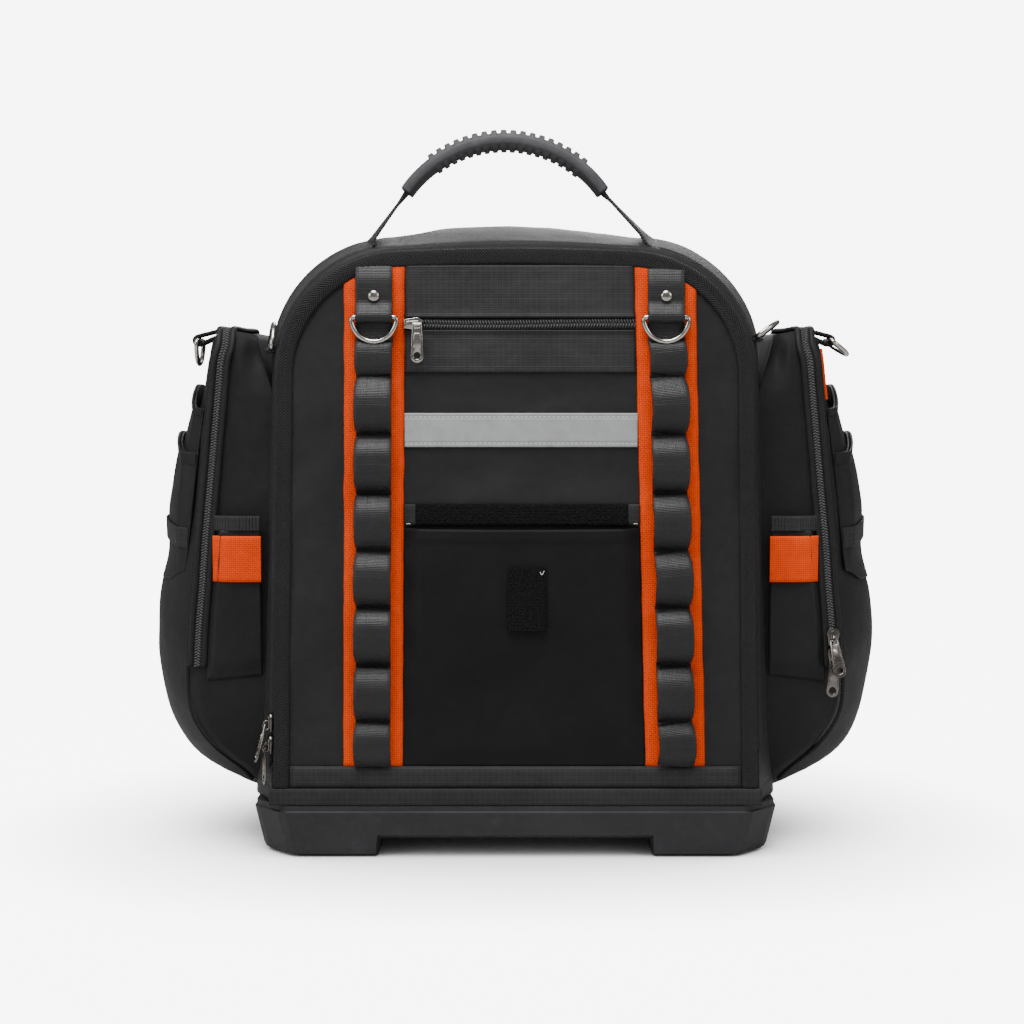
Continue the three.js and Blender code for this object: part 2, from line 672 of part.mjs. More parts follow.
// Zip sliders

// A slider on its seat, lying along `along` and facing out of the cloth, and its pull, which
// hangs from a pin through the slider's lug. `swing` leans the pull sideways and `tilt` lifts it
// off the cloth, in degrees.
function addSlider(name, seat, { facing, along, lugAt, swing, tilt }) {
  const { width, length, thick } = SLIDER;
  const outline = [
    [-length / 2, -width * 0.36],
    [length * 0.2, -width / 2],
    [length / 2, -width * 0.28],
    [length / 2, width * 0.28],
    [length * 0.2, width / 2],
    [-length / 2, width * 0.36],
  ];
  const across = new THREE.Vector3().crossVectors(facing, along);
  const ringAt = (rise, grow) =>
    outline.map(([u, v]) =>
      seat
        .clone()
        .addScaledVector(along, u * grow)
        .addScaledVector(across, v * grow)
        .addScaledVector(facing, rise),
    );
  const plate = loft([ringAt(0, 1), ringAt(thick * 0.7, 1), ringAt(thick, 0.82)]);

  const pivot = seat
    .clone()
    .addScaledVector(along, lugAt)
    .addScaledVector(facing, thick + LUG.stand - 0.6);
  const down = new THREE.Vector3(0, 0, -1);
  const lean = new THREE.Quaternion().setFromAxisAngle(facing, THREE.MathUtils.degToRad(swing));
  down.applyQuaternion(lean);
  const pinAxis = new THREE.Vector3().crossVectors(facing, down).normalize();
  const turn = ringTurn(pinAxis, down);
  const pinX = new THREE.Vector3(1, 0, 0);
  const lift = new THREE.Quaternion().setFromAxisAngle(pinX, THREE.MathUtils.degToRad(-tilt));

  const stemBox = new THREE.BoxGeometry(LUG.width, LUG.stand, LUG.radius * 1.5);
  const stem = solidFrom(stemBox.translate(0, LUG.stand / 2, 0));
  const lugLocal = barX(LUG.radius, LUG.width, 8).add(stem).subtract(barX(LUG.bore, LUG.width + 2, 8));
  const place = new THREE.Matrix4().compose(pivot, turn, new THREE.Vector3(1, 1, 1));
  const lug = lugLocal.transform(place.toArray());
  addPiece(`${name}_slider`, plate.add(lug), GUNMETAL);
  addPiece(`${name}_pull`, pullTab(), GUNMETAL, pivot, turn.clone().multiply(lift));
}

// A pull that hangs along -Z from its pin on the X axis, with an eye near its lower end.
function pullTab() {
  const { top, bottom, length, thick, pin, notch, eye } = PULL;
  const shape = new THREE.Shape();
  const clear = LUG.radius + GAP + 0.1;
  const low = -length + bottom / 2;
  shape.moveTo(-top / 2, pin);
  shape.lineTo(-bottom / 2, low);
  shape.absarc(0, low, bottom / 2, Math.PI, 2 * Math.PI, false);
  shape.lineTo(top / 2, pin);
  shape.lineTo(notch / 2, pin);
  shape.lineTo(notch / 2, -clear);
  shape.lineTo(-notch / 2, -clear);
  shape.lineTo(-notch / 2, pin);
  const hole = new THREE.Path();
  hole.absarc(0, low + 0.6, eye, 0, 2 * Math.PI, true);
  shape.holes.push(hole);
  const plate = new THREE.ExtrudeGeometry(shape, { depth: thick, bevelEnabled: false, curveSegments: 4 });
  plate.translate(0, 0, -thick / 2).rotateX(Math.PI / 2);
  return solidFrom(plate).add(barX(pin, (top + notch) / 2, 8));
}

// Handle

const strapY = BODY_FRONT + STRAP_DEPTH;

// A point of the body's shoulder arc at a depth, angle 0 at the side and 90 on top.
function shoulderPoint(sign, degrees, depth, lift) {
  const roll = rollAt(depth);
  const radius = mix(WIDEST.radius, EDGE.radius, roll);
  const centreX = mix(WIDEST.shoulder, EDGE.shoulder, roll) - radius;
  const centreZ = mix(WIDEST.top, EDGE.top, roll) - radius;
  const angle = THREE.MathUtils.degToRad(degrees);
  const reach = radius + lift;
  return new THREE.Vector3(
    sign * (centreX + reach * Math.cos(angle)),
    BODY_FRONT + depth,
    centreZ + reach * Math.sin(angle),
  );
}

function strapOnShoulder(sign, degrees) {
  const half = STRAP_WIDTH / 2;
  const lift = STRAP_CLOTH / 2 + GAP;
  const front = shoulderPoint(sign, degrees, STRAP_DEPTH - half, lift);
  const back = shoulderPoint(sign, degrees, STRAP_DEPTH + half, lift);
  const at = shoulderPoint(sign, degrees, STRAP_DEPTH, lift);
  return { at, across: back.sub(front).normalize(), angle: degrees, sign };
}

// A point of the grip's arc, angle 0 at its apex and positive to the right.
function gripPoint(degrees) {
  const angle = THREE.MathUtils.degToRad(degrees);
  const centreZ = GRIP.apex - GRIP.radius;
  return new THREE.Vector3(
    GRIP.x + GRIP.radius * Math.sin(angle),
    strapY,
    centreZ + GRIP.radius * Math.cos(angle),
  );
}

function withThrough(stations) {
  return stations.map((station, i) => {
    const before = stations[Math.max(i - 1, 0)].at;
    const after = stations[Math.min(i + 1, stations.length - 1)].at;
    const along = new THREE.Vector3().subVectors(after, before).normalize();
    const across = station.across.clone().addScaledVector(along, -station.across.dot(along)).normalize();
    return { at: station.at, across, through: new THREE.Vector3().crossVectors(along, across) };
  });
}

const depthwise = new THREE.Vector3(0, 1, 0);
const strapEndAngle = {};
const sideRing = {};

// The strap's run on one shoulder, from its D-ring up to where it leaves the body.
function shoulderRun(side) {
  const sign = SIDES[side];
  const leaves = STRAP_LEAVES[side];
  const lowest = strapEndAngle[side];
  const run = [];
  for (let i = 0; i <= 6; i++) run.push(strapOnShoulder(sign, mix(lowest, leaves, i / 6)));
  return run;
}

function airborne(side) {
  const sign = SIDES[side];
  const foot = strapOnShoulder(sign, STRAP_LEAVES[side]);
  const end = gripPoint(sign * GRIP.sweep);
  const slope = foot.at.clone().lerp(end, 0.5);
  const bow = side === "right" ? -3 : 1.5;
  slope.add(new THREE.Vector3(sign * bow, 0, -bow));
  const early = foot.at.clone().lerp(end, 0.16).add(new THREE.Vector3(sign * bow * 0.8, 0, -bow * 0.8));
  const lean = side === "right" ? 0.7 : 0.25;
  const twist = (share) => depthwise.clone().lerp(foot.across, share * lean).normalize();
  return [
    { at: early, across: twist(0.9) },
    { at: slope, across: twist(0.6) },
    { at: foot.at.clone().lerp(end, 0.8), across: twist(0.2) },
  ];
}

function addHandle() {
  for (const [side, sign] of Object.entries(SIDES)) {
    const radius = mix(WIDEST.radius, EDGE.radius, rollAt(STRAP_DEPTH));
    const centreZ = mix(WIDEST.top, EDGE.top, rollAt(STRAP_DEPTH)) - radius;
    const endZ = STRAP_ENDS_Z[side];
    strapEndAngle[side] = THREE.MathUtils.radToDeg(Math.asin((endZ - centreZ) / radius));
    const end = strapOnShoulder(sign, strapEndAngle[side]);
    const bar = end.across.clone().setZ(0).normalize();
    const out = new THREE.Vector3(bar.y, -bar.x, 0).multiplyScalar(sign);
    const pivot = end.at.clone().addScaledVector(out, tabRound - STRAP_CLOTH / 2 + 0.8).setZ(endZ - 1.5);
    sideRing[side] = { pivot, bar, out };
  }
  const gripStations = [];
  for (let i = -6; i <= 6; i++) gripStations.push({ at: gripPoint((i / 6) * GRIP.sweep), across: depthwise });
  const stations = [
    ...shoulderRun("left"),
    ...airborne("left"),
    ...gripStations,
    ...airborne("right").reverse(),
    ...shoulderRun("right").reverse(),
  ];
  let strap = band(withThrough(stations), STRAP_WIDTH, STRAP_CLOTH);
  for (const side of Object.keys(SIDES)) {
    const { pivot, bar } = sideRing[side];
    const yaw = THREE.MathUtils.radToDeg(Math.atan2(bar.y, bar.x));
    const along = (solid) => solid.rotate([0, 0, yaw]).translate(pivot.x, pivot.y, pivot.z);
    const eye = along(barX(tabRound, STRAP_WIDTH, 12));
    const bore = along(barX(ringBore, STRAP_WIDTH + 4, 12));
    strap = strap.add(eye).subtract(bore);
  }
  addPiece("handle_strap", strap.subtract(bodySolid), BLACK_WEBBING);
  addGrip(gripStations);

  for (const [side, { pivot, bar, out }] of Object.entries(sideRing)) {
    const lift = THREE.MathUtils.degToRad(SIDE_RING_LIFT[side]);
    const bow = out.clone().multiplyScalar(Math.cos(lift)).add(new THREE.Vector3(0, 0, Math.sin(lift)));
    addPiece(`d_ring_side_${side}`, dRing(), STEEL, pivot, ringTurn(bar, bow));
  }
}

function addGrip(gripStations) {
  const { sweep, width, core, rib, ribs } = GRIP;
  const rings = [];
  const ringAt = (degrees, thick) => {
    const angle = THREE.MathUtils.degToRad(degrees);
    const out = new THREE.Vector3(Math.sin(angle), 0, Math.cos(angle));
    const half = thick / 2;
    const section = [
      [-width / 2, -core * 0.28],
      [-width * 0.38, -half],
      [width * 0.38, -half],
      [width / 2, -core * 0.28],
      [width / 2, core * 0.28],
      [width * 0.38, half],
      [-width * 0.38, half],
      [-width / 2, core * 0.28],
    ];
    const at = gripPoint(degrees);
    return section.map(([y, r]) => at.clone().addScaledVector(out, r).add(new THREE.Vector3(0, y, 0)));
  };
  const pitch = (2 * sweep) / (ribs + 0.5);
  rings.push(ringAt(-sweep, core));
  for (let i = 0; i < ribs; i++) {
    const start = -sweep + pitch * (i + 0.5);
    rings.push(ringAt(start - pitch * 0.03, core));
    rings.push(ringAt(start + pitch * 0.03, core + rib * 2));
    rings.push(ringAt(start + pitch * 0.47, core + rib * 2));
    rings.push(ringAt(start + pitch * 0.53, core));
  }
  rings.push(ringAt(sweep, core));
  const beyond = [-1, 1].map((sign) => gripPoint(sign * (sweep + 4)));
  const slotStations = [
    { at: beyond[0], across: depthwise },
    ...gripStations,
    { at: beyond[1], across: depthwise },
  ];
  const slot = band(withThrough(slotStations), STRAP_WIDTH + 2 * GAP, STRAP_CLOTH + 2 * GAP);
  addPiece("handle_grip", loft(rings).subtract(slot), RUBBER);
}

// Side pockets, drawn on the right and mirrored for the left

const pocketBack = POCKET_FRONT + POCKET_DEPTH;
const pocketX = (share) => WIDEST.half + share * POCKET_REACH;

// A pocket's outer form, grown outwards. Its inner side runs into the body.
function pocketForm(grow) {
  const topEdge = pocketX(POCKET_SECTIONS[POCKET_SECTIONS.length - 1].corner);
  const form = loft(
    POCKET_SECTIONS.map(({ up, out, corner, tuck, slope }) => {
      const z = mix(POCKET_BOTTOM - grow, POCKET_TOP + grow, up);
      const front = POCKET_FRONT + tuck * POCKET_DEPTH - grow;
      const back = pocketBack - tuck * POCKET_DEPTH + grow;
      const edge = pocketX(corner) + grow;
      const bulge = pocketX(out) + grow;
      const inner = EDGE.shoulder - 20;
      const round = POCKET_CORNER;
      const outline = [[inner, front], [edge - round, front], [edge - round * 0.3, front + round * 0.3]];
      for (const share of [0, 0.17, 0.36, 0.64, 0.83, 1]) {
        const bow = 1 - (2 * share - 1) ** 2;
        outline.push([edge + (bulge - edge) * bow, mix(front + round, back - round, share)]);
      }
      outline.push([edge - round * 0.3, back - round * 0.3], [edge - round, back], [inner, back]);
      const heightAt = (x) => z + slope * POCKET_TOP_SLOPE * (x - topEdge);
      return outline.map(([x, y]) => new THREE.Vector3(x, y, heightAt(x)));
    }),
  );
  const lean = THREE.MathUtils.degToRad(POCKET_VALLEY.lean);
  const away = new THREE.Vector3(Math.cos(lean), 0, -Math.sin(lean));
  const reach = away.dot(new THREE.Vector3(POCKET_VALLEY.x, 0, POCKET_VALLEY.z));
  return form.trimByPlane(away.toArray(), reach - grow);
}

function pocketRowAt(z) {
  const up = (z - POCKET_BOTTOM) / (POCKET_TOP - POCKET_BOTTOM);
  const next = Math.max(POCKET_SECTIONS.findIndex((row) => row.up >= up), 1);
  const [a, b] = [POCKET_SECTIONS[next - 1], POCKET_SECTIONS[next]];
  const share = (up - a.up) / (b.up - a.up);
  return { out: mix(a.out, b.out, share), corner: mix(a.corner, b.corner, share) };
}

const pocketCornerX = (z) => pocketX(pocketRowAt(z).corner);

const rightPocket = {};

function drawPocket() {
  const solid = pocketForm(0);
  const grown = pocketForm(GAP);
  rightPocket.side_pocket = solid.subtract(pocketForm(-POCKET_CLOTH));
  rightPocket.side_zip = sideZip().subtract(grown);
  Object.assign(rightPocket, stashPocket(grown));
  rightPocket.outer_pocket = outerPocket(grown);
}

// The zip runs up the pocket's front, over its top and down its back.
function sideZip() {
  const { inset, width, thick } = SIDE_ZIP;
  const turn = SIDE_ZIP_TURN;
  const x = (z) => pocketCornerX(z) - inset;
  const front = SIDE_ZIP_HEIGHTS.map((z) => new THREE.Vector3(x(z), POCKET_FRONT, z));
  const topX = x(POCKET_TOP - 8);
  const dip = POCKET_TOP_SLOPE * (pocketX(POCKET_SECTIONS[POCKET_SECTIONS.length - 1].corner) - topX);
  const topZ = POCKET_TOP - dip;
  const over = [
    [POCKET_FRONT + turn.in, topZ - turn.below],
    [POCKET_FRONT + turn.across, topZ],
    [pocketBack - turn.across, topZ],
    [pocketBack - turn.in, topZ - turn.below],
  ].map(([y, z]) => new THREE.Vector3(topX, y, z));
  const back = SIDE_ZIP_HEIGHTS.map((z) => new THREE.Vector3(x(z), pocketBack, z)).reverse();
  const route = [...front, ...over, ...back];
  const across = new THREE.Vector3(1, 0, 0);
  return band(withThrough(route.map((at) => ({ at, across }))), width, 2 * (GAP + thick));
}

function stashPocket(grown) {
  const { bottom, top, gap, cloth: wall, inset } = STASH;
  const right = (z) => pocketCornerX(z) - inset - SIDE_ZIP.inset - SIDE_ZIP.width / 2;
  const left = WIDEST.half - 8;
  const face = (z) => POCKET_FRONT - mix(wall + 2.5, gap + wall, (z - bottom) / (top - bottom));
  const tray = (shrink, z0, z1, extra) =>
    loft(
      [z0, z1].map((z) =>
        [
          [left + shrink, POCKET_FRONT + 6],
          [right(z) - shrink, POCKET_FRONT + 6],
          [right(z) - shrink, face(z) + extra],
          [left + shrink, face(z) + extra],
        ].map(([x, y]) => new THREE.Vector3(x, y, z)),
      ),
    );
  const stash = tray(0, bottom, top, 0)
    .subtract(tray(wall, bottom + wall, top + 5, wall))
    .subtract(grown);
  const strip = (z0, z1, x0, x1, thick) => {
    const y = Math.min(face(z0), face(z1)) - GAP;
    return block(x0, x1, y - thick, y, z0, z1);
  };
  const elasticTop = top + GAP + ELASTIC.height;
  const elastic = block(
    left,
    right(top) + 0.5,
    face(top) - ELASTIC.thick / 2,
    face(top) + ELASTIC.thick,
    top + GAP,
    elasticTop,
  );
  const { top: tabTop, height, width, thick } = ORANGE_TAB;
  const tabRight = right(tabTop);
  return {
    stash_pocket: stash,
    stash_elastic: elastic,
    orange_tab: strip(tabTop - height, tabTop, tabRight - width, tabRight, thick),
  };
}

// The outer pocket: overlapping tiers round the pocket's outer face, open at the top.
function outerPocket(grown) {
  const [y0, y1] = [POCKET_FRONT + SLEEVE_EDGE, pocketBack - SLEEVE_EDGE];
  const top = SLEEVE_TIERS[SLEEVE_TIERS.length - 1].top;
  const least = Math.min(...SLEEVE_TIERS.map(({ proud }) => proud));
  const tier = ({ bottom, top: upper, proud }) =>
    pocketForm(proud).intersect(block(0, FAR, y0, y1, bottom, upper));
  const outside = SLEEVE_TIERS.map(tier).reduce((all, one) => all.add(one));
  const room = pocketForm(least - SLEEVE_CLOTH).intersect(
    block(0, FAR, y0 + SLEEVE_CLOTH, y1 - SLEEVE_CLOTH, SLEEVE_BOTTOM + SLEEVE_CLOTH, top + 5),
  );
  const outerOnly = block(pocketCornerX(SLEEVE_BOTTOM) - 25, FAR, y0, y1, SLEEVE_BOTTOM, top);
  return outside.intersect(outerOnly).subtract(room).subtract(grown);
}

const PIECE_MATERIAL = {
  side_pocket: BLACK_CLOTH,
  side_zip: ZIP_BLACK,
  stash_pocket: BLACK_CLOTH,
  stash_elastic: BLACK_WEBBING,
  orange_tab: ORANGE,
  outer_pocket: BLACK_CLOTH,
};

function addPockets() {
  drawPocket();
  const taken = bodySolid.add(bodyForm(HEM_CLOTH + 2 * GAP).intersect(belowHeight(hemTop + GAP)));
  for (const [side, sign] of Object.entries(SIDES))
    for (const [name, drawn] of Object.entries(rightPocket)) {
      const solid = sign > 0 ? drawn : drawn.mirror([1, 0, 0]);
      addPiece(`${name}_${side}`, solid.subtract(taken), PIECE_MATERIAL[name]);
    }
  addPocketRings();
  addPocketSliders();
}

function addPocketRings() {
  const { below, behind, reach, width, lean } = POCKET_RING_TAB;
  const [y, z] = [POCKET_FRONT + behind, POCKET_TOP - below];
  for (const { side, out, dip } of POCKET_RINGS) {
    const sign = SIDES[side];
    const x = WIDEST.half + out;
    const pivot = new THREE.Vector3(sign * x, y, z);
    const arm = block(-reach, 0, -width / 2, width / 2, tabRound - 2 * TAB_CLOTH, tabRound);
    const eye = barX(tabRound, width, 12).rotate([0, 0, 90]);
    const bore = barX(ringBore, width + 4, 12).rotate([0, 0, 90]);
    const rightTab = arm.add(eye).subtract(bore).rotate([0, lean, 0]).translate(x, y, z);
    const seated = rightTab.subtract(pocketForm(GAP));
    addPiece(`pocket_ring_tab_${side}`, sign > 0 ? seated : seated.mirror([1, 0, 0]), BLACK_WEBBING);
    const angle = THREE.MathUtils.degToRad(dip);
    const bow = new THREE.Vector3(sign * Math.cos(angle), 0, -Math.sin(angle));
    addPiece(`d_ring_pocket_${side}`, dRing(), STEEL, pivot, ringTurn(depthwise, bow));
  }
}

// The right pocket's two sliders rest at the front end of its zip, the left pocket's at the back.
function addPocketSliders() {
  const { inset, thick, end } = SIDE_ZIP;
  const rise = thick + 2 * GAP;
  const up = new THREE.Vector3(0, 0, 1);
  const places = [
    { name: "side_zip_right_upper", side: "right", face: -1, above: 22, swing: 8, tilt: 20 },
    { name: "side_zip_right_lower", side: "right", face: -1, above: 8, swing: -4, tilt: 0 },
    { name: "side_zip_left", side: "left", face: 1, above: 8, swing: 0, tilt: 0 },
  ];
  for (const { name, side, face, above, swing, tilt } of places) {
    const z = end + above;
    const y = face < 0 ? POCKET_FRONT - rise : pocketBack + rise;
    const seat = new THREE.Vector3(SIDES[side] * (pocketCornerX(z) - inset), y, z);
    addSlider(name, seat, { facing: new THREE.Vector3(0, face, 0), along: up, lugAt: -2, swing, tilt });
  }
}

// The main zip's two sliders rest at its lower left end.
function addMainSliders() {
  const places = [
    { name: "main_zip_upper", z: 96, swing: 18, tilt: 18 },
    { name: "main_zip_lower", z: 80, swing: -2, tilt: 0 },
  ];
  const [y0, y1] = zipDepths;
  const rolls = [y0, y1].map((y) => rollAt(y - BODY_FRONT));
  for (const { name, z, swing, tilt } of places) {
    const halfAt = (roll) => {
      const [half, shoulder] = ["half", "shoulder"].map((key) => mix(WIDEST[key], EDGE[key], roll));
      const centreZ = mix(WIDEST.top, EDGE.top, roll) - mix(WIDEST.radius, EDGE.radius, roll);
      return mix(half, shoulder, (z - BODY_BOTTOM) / (centreZ - BODY_BOTTOM));
    };
    const [x0, x1] = rolls.map(halfAt);
    const facing = new THREE.Vector3(-(y1 - y0), -(x1 - x0), 0).normalize();
    const seat = new THREE.Vector3(-(x0 + x1) / 2, (y0 + y1) / 2, z).addScaledVector(facing, GAP + 0.4);
    addSlider(name, seat, { facing, along: new THREE.Vector3(0, 0, 1), lugAt: -2, swing, tilt });
  }
}

// Back

function backPadForm(grow) {
  const { half, bottom, top, radius, thick, crown } = BACK_PAD;
  const outline = (inset, y) => {
    const shape = new THREE.Shape();
    const [x, z0, z1, r] = [half - inset, bottom + inset, top - inset, radius - inset];
    shape.absarc(x - r, z1 - r, r, 0, Math.PI / 2, false);
    shape.absarc(-x + r, z1 - r, r, Math.PI / 2, Math.PI, false);
    shape.absarc(-x + r * 0.5, z0 + r * 0.5, r * 0.5, Math.PI, Math.PI * 1.5, false);
    shape.absarc(x - r * 0.5, z0 + r * 0.5, r * 0.5, Math.PI * 1.5, Math.PI * 2, false);
    return shape.getPoints(4).map((p) => new THREE.Vector3(p.x, y, p.y));
  };
  const seat = BODY_BACK + GAP;
  const unique = (ring) => ring.filter((p, i) => p.distanceTo(ring[(i + 1) % ring.length]) > 0.01);
  const rings = [
    outline(2 - grow, seat - grow),
    outline(-grow, seat + thick * 0.35),
    outline(crown - grow, seat + thick * 0.85),
    outline(crown * 2.6 - grow, seat + thick + grow),
  ];
  return loft(rings.map(unique));
}

function addBack() {
  addPiece("back_pad", backPadForm(0), BLACK_CLOTH);
  for (const side of Object.keys(SIDES)) addShoulderStrap(side);
}

function addShoulderStrap(side) {
  const sign = SIDES[side];
  const { width, thick, webbing, webbingThick } = SHOULDER_STRAP;
  const points = SHOULDER_STRAP_ROUTE.map(
    ({ x, behind, below }) => new THREE.Vector3(sign * x, BODY_BACK + GAP + behind, WIDEST.top - below),
  );
  const stations = withThrough(points.map((at) => ({ at, across: new THREE.Vector3(1, 0, 0) })));
  const rings = stations.map(({ at, across, through }, i) => {
    const { full } = SHOULDER_STRAP_ROUTE[i];
    const half = mix(webbing, width, full) / 2;
    const deep = mix(webbingThick, thick, full) / 2;
    const section = [
      [-half, 0],
      [-half * 0.82, -deep],
      [half * 0.82, -deep],
      [half, 0],
      [half * 0.82, deep],
      [-half * 0.82, deep],
    ];
    return section.map(([u, v]) => at.clone().addScaledVector(across, u).addScaledVector(through, v));
  });
  const strap = loft(rings).subtract(bodySolid).subtract(backPadForm(GAP));
  addPiece(`shoulder_strap_${side}`, strap, BLACK_CLOTH);
}

addTub();
addBody();
addFrontPanel();
addToolColumns();
addFrontFields();
addHandle();
addPockets();
addMainSliders();
addBack();

// The origin goes under the middle of the whole bag.
const middle = new THREE.Box3().setFromObject(bag).getCenter(new THREE.Vector3());
bag.position.set(-middle.x, -middle.y, 0);

export default bag;
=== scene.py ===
"""The looks of a tool backpack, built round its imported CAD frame.

A soft black bag stands on a moulded tub, with a pocket on each flank, two columns of tool loops
down the front and a ribbed grip on top. Sizes are millimetres in the frame that the CAD source is
drawn in: +X right, +Y from the front panel to the wearer's back, +Z up. to_frame turns them into
metres in the part's own frame.
"""

from __future__ import annotations

import json
import logging
import math
from dataclasses import dataclass, field
from enum import Enum
from typing import Callable, Sequence

import bmesh
import bpy
from mathutils import Matrix, Vector, noise


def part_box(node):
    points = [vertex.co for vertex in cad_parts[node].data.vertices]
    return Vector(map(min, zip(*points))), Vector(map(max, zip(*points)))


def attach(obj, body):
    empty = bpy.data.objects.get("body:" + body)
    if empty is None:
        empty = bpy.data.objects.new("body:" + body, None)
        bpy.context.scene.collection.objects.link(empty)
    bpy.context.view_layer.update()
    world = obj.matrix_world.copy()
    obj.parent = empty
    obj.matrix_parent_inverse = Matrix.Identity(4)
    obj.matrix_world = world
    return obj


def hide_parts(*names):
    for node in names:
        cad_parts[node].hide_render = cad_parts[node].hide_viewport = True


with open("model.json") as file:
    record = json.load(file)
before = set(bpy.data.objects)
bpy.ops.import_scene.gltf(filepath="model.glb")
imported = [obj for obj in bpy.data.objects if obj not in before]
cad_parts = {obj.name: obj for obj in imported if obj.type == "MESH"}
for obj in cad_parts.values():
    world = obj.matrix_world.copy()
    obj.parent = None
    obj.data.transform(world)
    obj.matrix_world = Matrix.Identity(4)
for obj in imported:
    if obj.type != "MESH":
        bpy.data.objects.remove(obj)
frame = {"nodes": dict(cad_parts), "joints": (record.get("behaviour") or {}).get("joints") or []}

LOG = logging.getLogger("tool_backpack")
METRE = 0.001
CLOTH_MAP = "cloth"
BAG = "bag"
PANEL_LOW, PANEL_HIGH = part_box("front_panel")
DRAWING_SHIFT = Vector(((PANEL_LOW.x + PANEL_HIGH.x) / 2, PANEL_LOW.y + 100.0 * METRE, 0.0))

X, Y, Z = Vector((1.0, 0.0, 0.0)), Vector((0.0, 1.0, 0.0)), Vector((0.0, 0.0, 1.0))

Point = Callable[[float, float], Vector]
Pair = tuple[float, float]
Piece = bpy.types.Object
Socket = bpy.types.NodeSocket
Rows = Sequence[Sequence[float]]


class Side(Enum):
    """The two flanks, seen from the front."""

    LEFT = -1
    RIGHT = 1

    @property
    def label(self) -> str:
        """The side's name in piece names."""
        return self.name.lower()


def to_frame(point: Vector) -> Vector:
    """A drawing point in millimetres as metres in the part's frame."""
    return point * METRE + DRAWING_SHIFT


def mix(first: float, second: float, share: float) -> float:
    """The number at a share of the way from the first to the second."""
    return first + (second - first) * share


def ease(share: float) -> float:
    """A share from 0 to 1 with a soft start and end."""
    held = min(max(share, 0.0), 1.0)
    return held * held * (3.0 - 2.0 * held)


def ripple(point: Vector, size: float, seed: float = 0.0) -> float:
    """A smooth wave of cloth from -1 to 1.

    Args:
        point: Where on the bag, in millimetres.
        size: How wide one wave is, in millimetres.
        seed: Which of the endless patterns.
    """
    return noise.noise(point / size + Vector((seed, seed * 0.7, -seed)))


def smooth_rows(rows: Rows, key: float) -> list[float]:
    """Reads a table of rows whose first column is the key, along a smooth curve.

    Args:
        rows: The table, keys rising.
        key: Where to read it.

    Returns:
        The other columns at that key.
    """
    last = len(rows) - 1
    held = min(max(key, rows[0][0]), rows[last][0])
    at = next((i for i in range(last) if rows[i + 1][0] >= held), last - 1)
    a, b = rows[at], rows[at + 1]
    share = (held - a[0]) / (b[0] - a[0])
    before, after = rows[max(at - 1, 0)], rows[min(at + 2, last)]
    found = []
    for col in range(1, len(a)):
        rise = (b[col] - a[col]) / (b[0] - a[0])
        rise_in = (b[col] - before[col]) / max(b[0] - before[0], 1e-9)
        rise_out = (after[col] - a[col]) / max(after[0] - a[0], 1e-9)
        rise_in = rise_in if rise_in * rise > 0 else 0.0
        rise_out = rise_out if rise_out * rise > 0 else 0.0
        span = b[0] - a[0]
        s2, s3 = share * share, share ** 3
        found.append(
            (2 * s3 - 3 * s2 + 1) * a[col]
            + (s3 - 2 * s2 + share) * rise_in * span
            + (3 * s2 - 2 * s3) * b[col]
            + (s3 - s2) * rise_out * span
        )
    return found


# Mesh making


@dataclass
class Grid:
    """A surface drawn on a grid of quads and laid out by a function of two shares."""

    name: str
    columns: int
    rows: int
    point: Point
    cloth: Callable[[float, float], Pair]
    ring: bool = False
    turned: bool = False
    wall: float = 0.0
    capped: bool = False

    def build(self) -> Piece:
        """Makes the piece.

        Returns:
            The new object, at the origin, with its place in its mesh.
        """
        shape = bmesh.new()
        layer = shape.loops.layers.uv.new(CLOTH_MAP)
        bmesh.ops.create_grid(shape, x_segments=self.columns, y_segments=self.rows, size=0.5)
        for face in shape.faces:
            for corner in face.loops:
                place = corner.vert.co
                corner[layer].uv = self.cloth(place.x + 0.5, place.y + 0.5)
        for vert in shape.verts:
            vert.co = to_frame(self.point(vert.co.x + 0.5, vert.co.y + 0.5))
        bmesh.ops.remove_doubles(shape, verts=shape.verts, dist=1e-7)
        if self.capped:
            rim = [edge for edge in shape.edges if edge.is_boundary]
            bmesh.ops.holes_fill(shape, edges=rim, sides=0)
        bmesh.ops.dissolve_degenerate(shape, dist=1e-7, edges=shape.edges)
        if self.ring and self.capped:
            bmesh.ops.recalc_face_normals(shape, faces=shape.faces)
        elif self.turned:
            bmesh.ops.reverse_faces(shape, faces=shape.faces)
        piece = object_from(self.name, shape)
        if self.wall:
            solid = piece.modifiers.new("cloth", "SOLIDIFY")
            solid.thickness = self.wall * METRE
            solid.offset = -1.0
            solid.use_even_offset = False
        return piece


def object_from(name: str, shape: bmesh.types.BMesh, smooth: bool = True) -> Piece:
    """Turns a bmesh into a linked object.

    Args:
        name: The piece's name.
        shape: The mesh, which is freed.
        smooth: Whether its faces are shaded smooth.

    Returns:
        The new object.
    """
    mesh = bpy.data.meshes.new(name)
    for face in shape.faces:
        face.smooth = smooth
    shape.to_mesh(mesh)
    shape.free()
    piece = bpy.data.objects.new(name, mesh)
    bpy.context.scene.collection.objects.link(piece)
    return piece


def soften(piece: Piece, width: float, segments: int = 2) -> None:
    """Rounds a hard piece's sharp edges.

    Args:
        piece: The object.
        width: The round's width in millimetres.
        segments: Faces across the round.
    """
    bevel = piece.modifiers.new("rounded edges", "BEVEL")
    bevel.width = width * METRE
    bevel.segments = segments
    bevel.limit_method = "ANGLE"
    bevel.angle_limit = math.radians(32.0)
    bevel.harden_normals = False


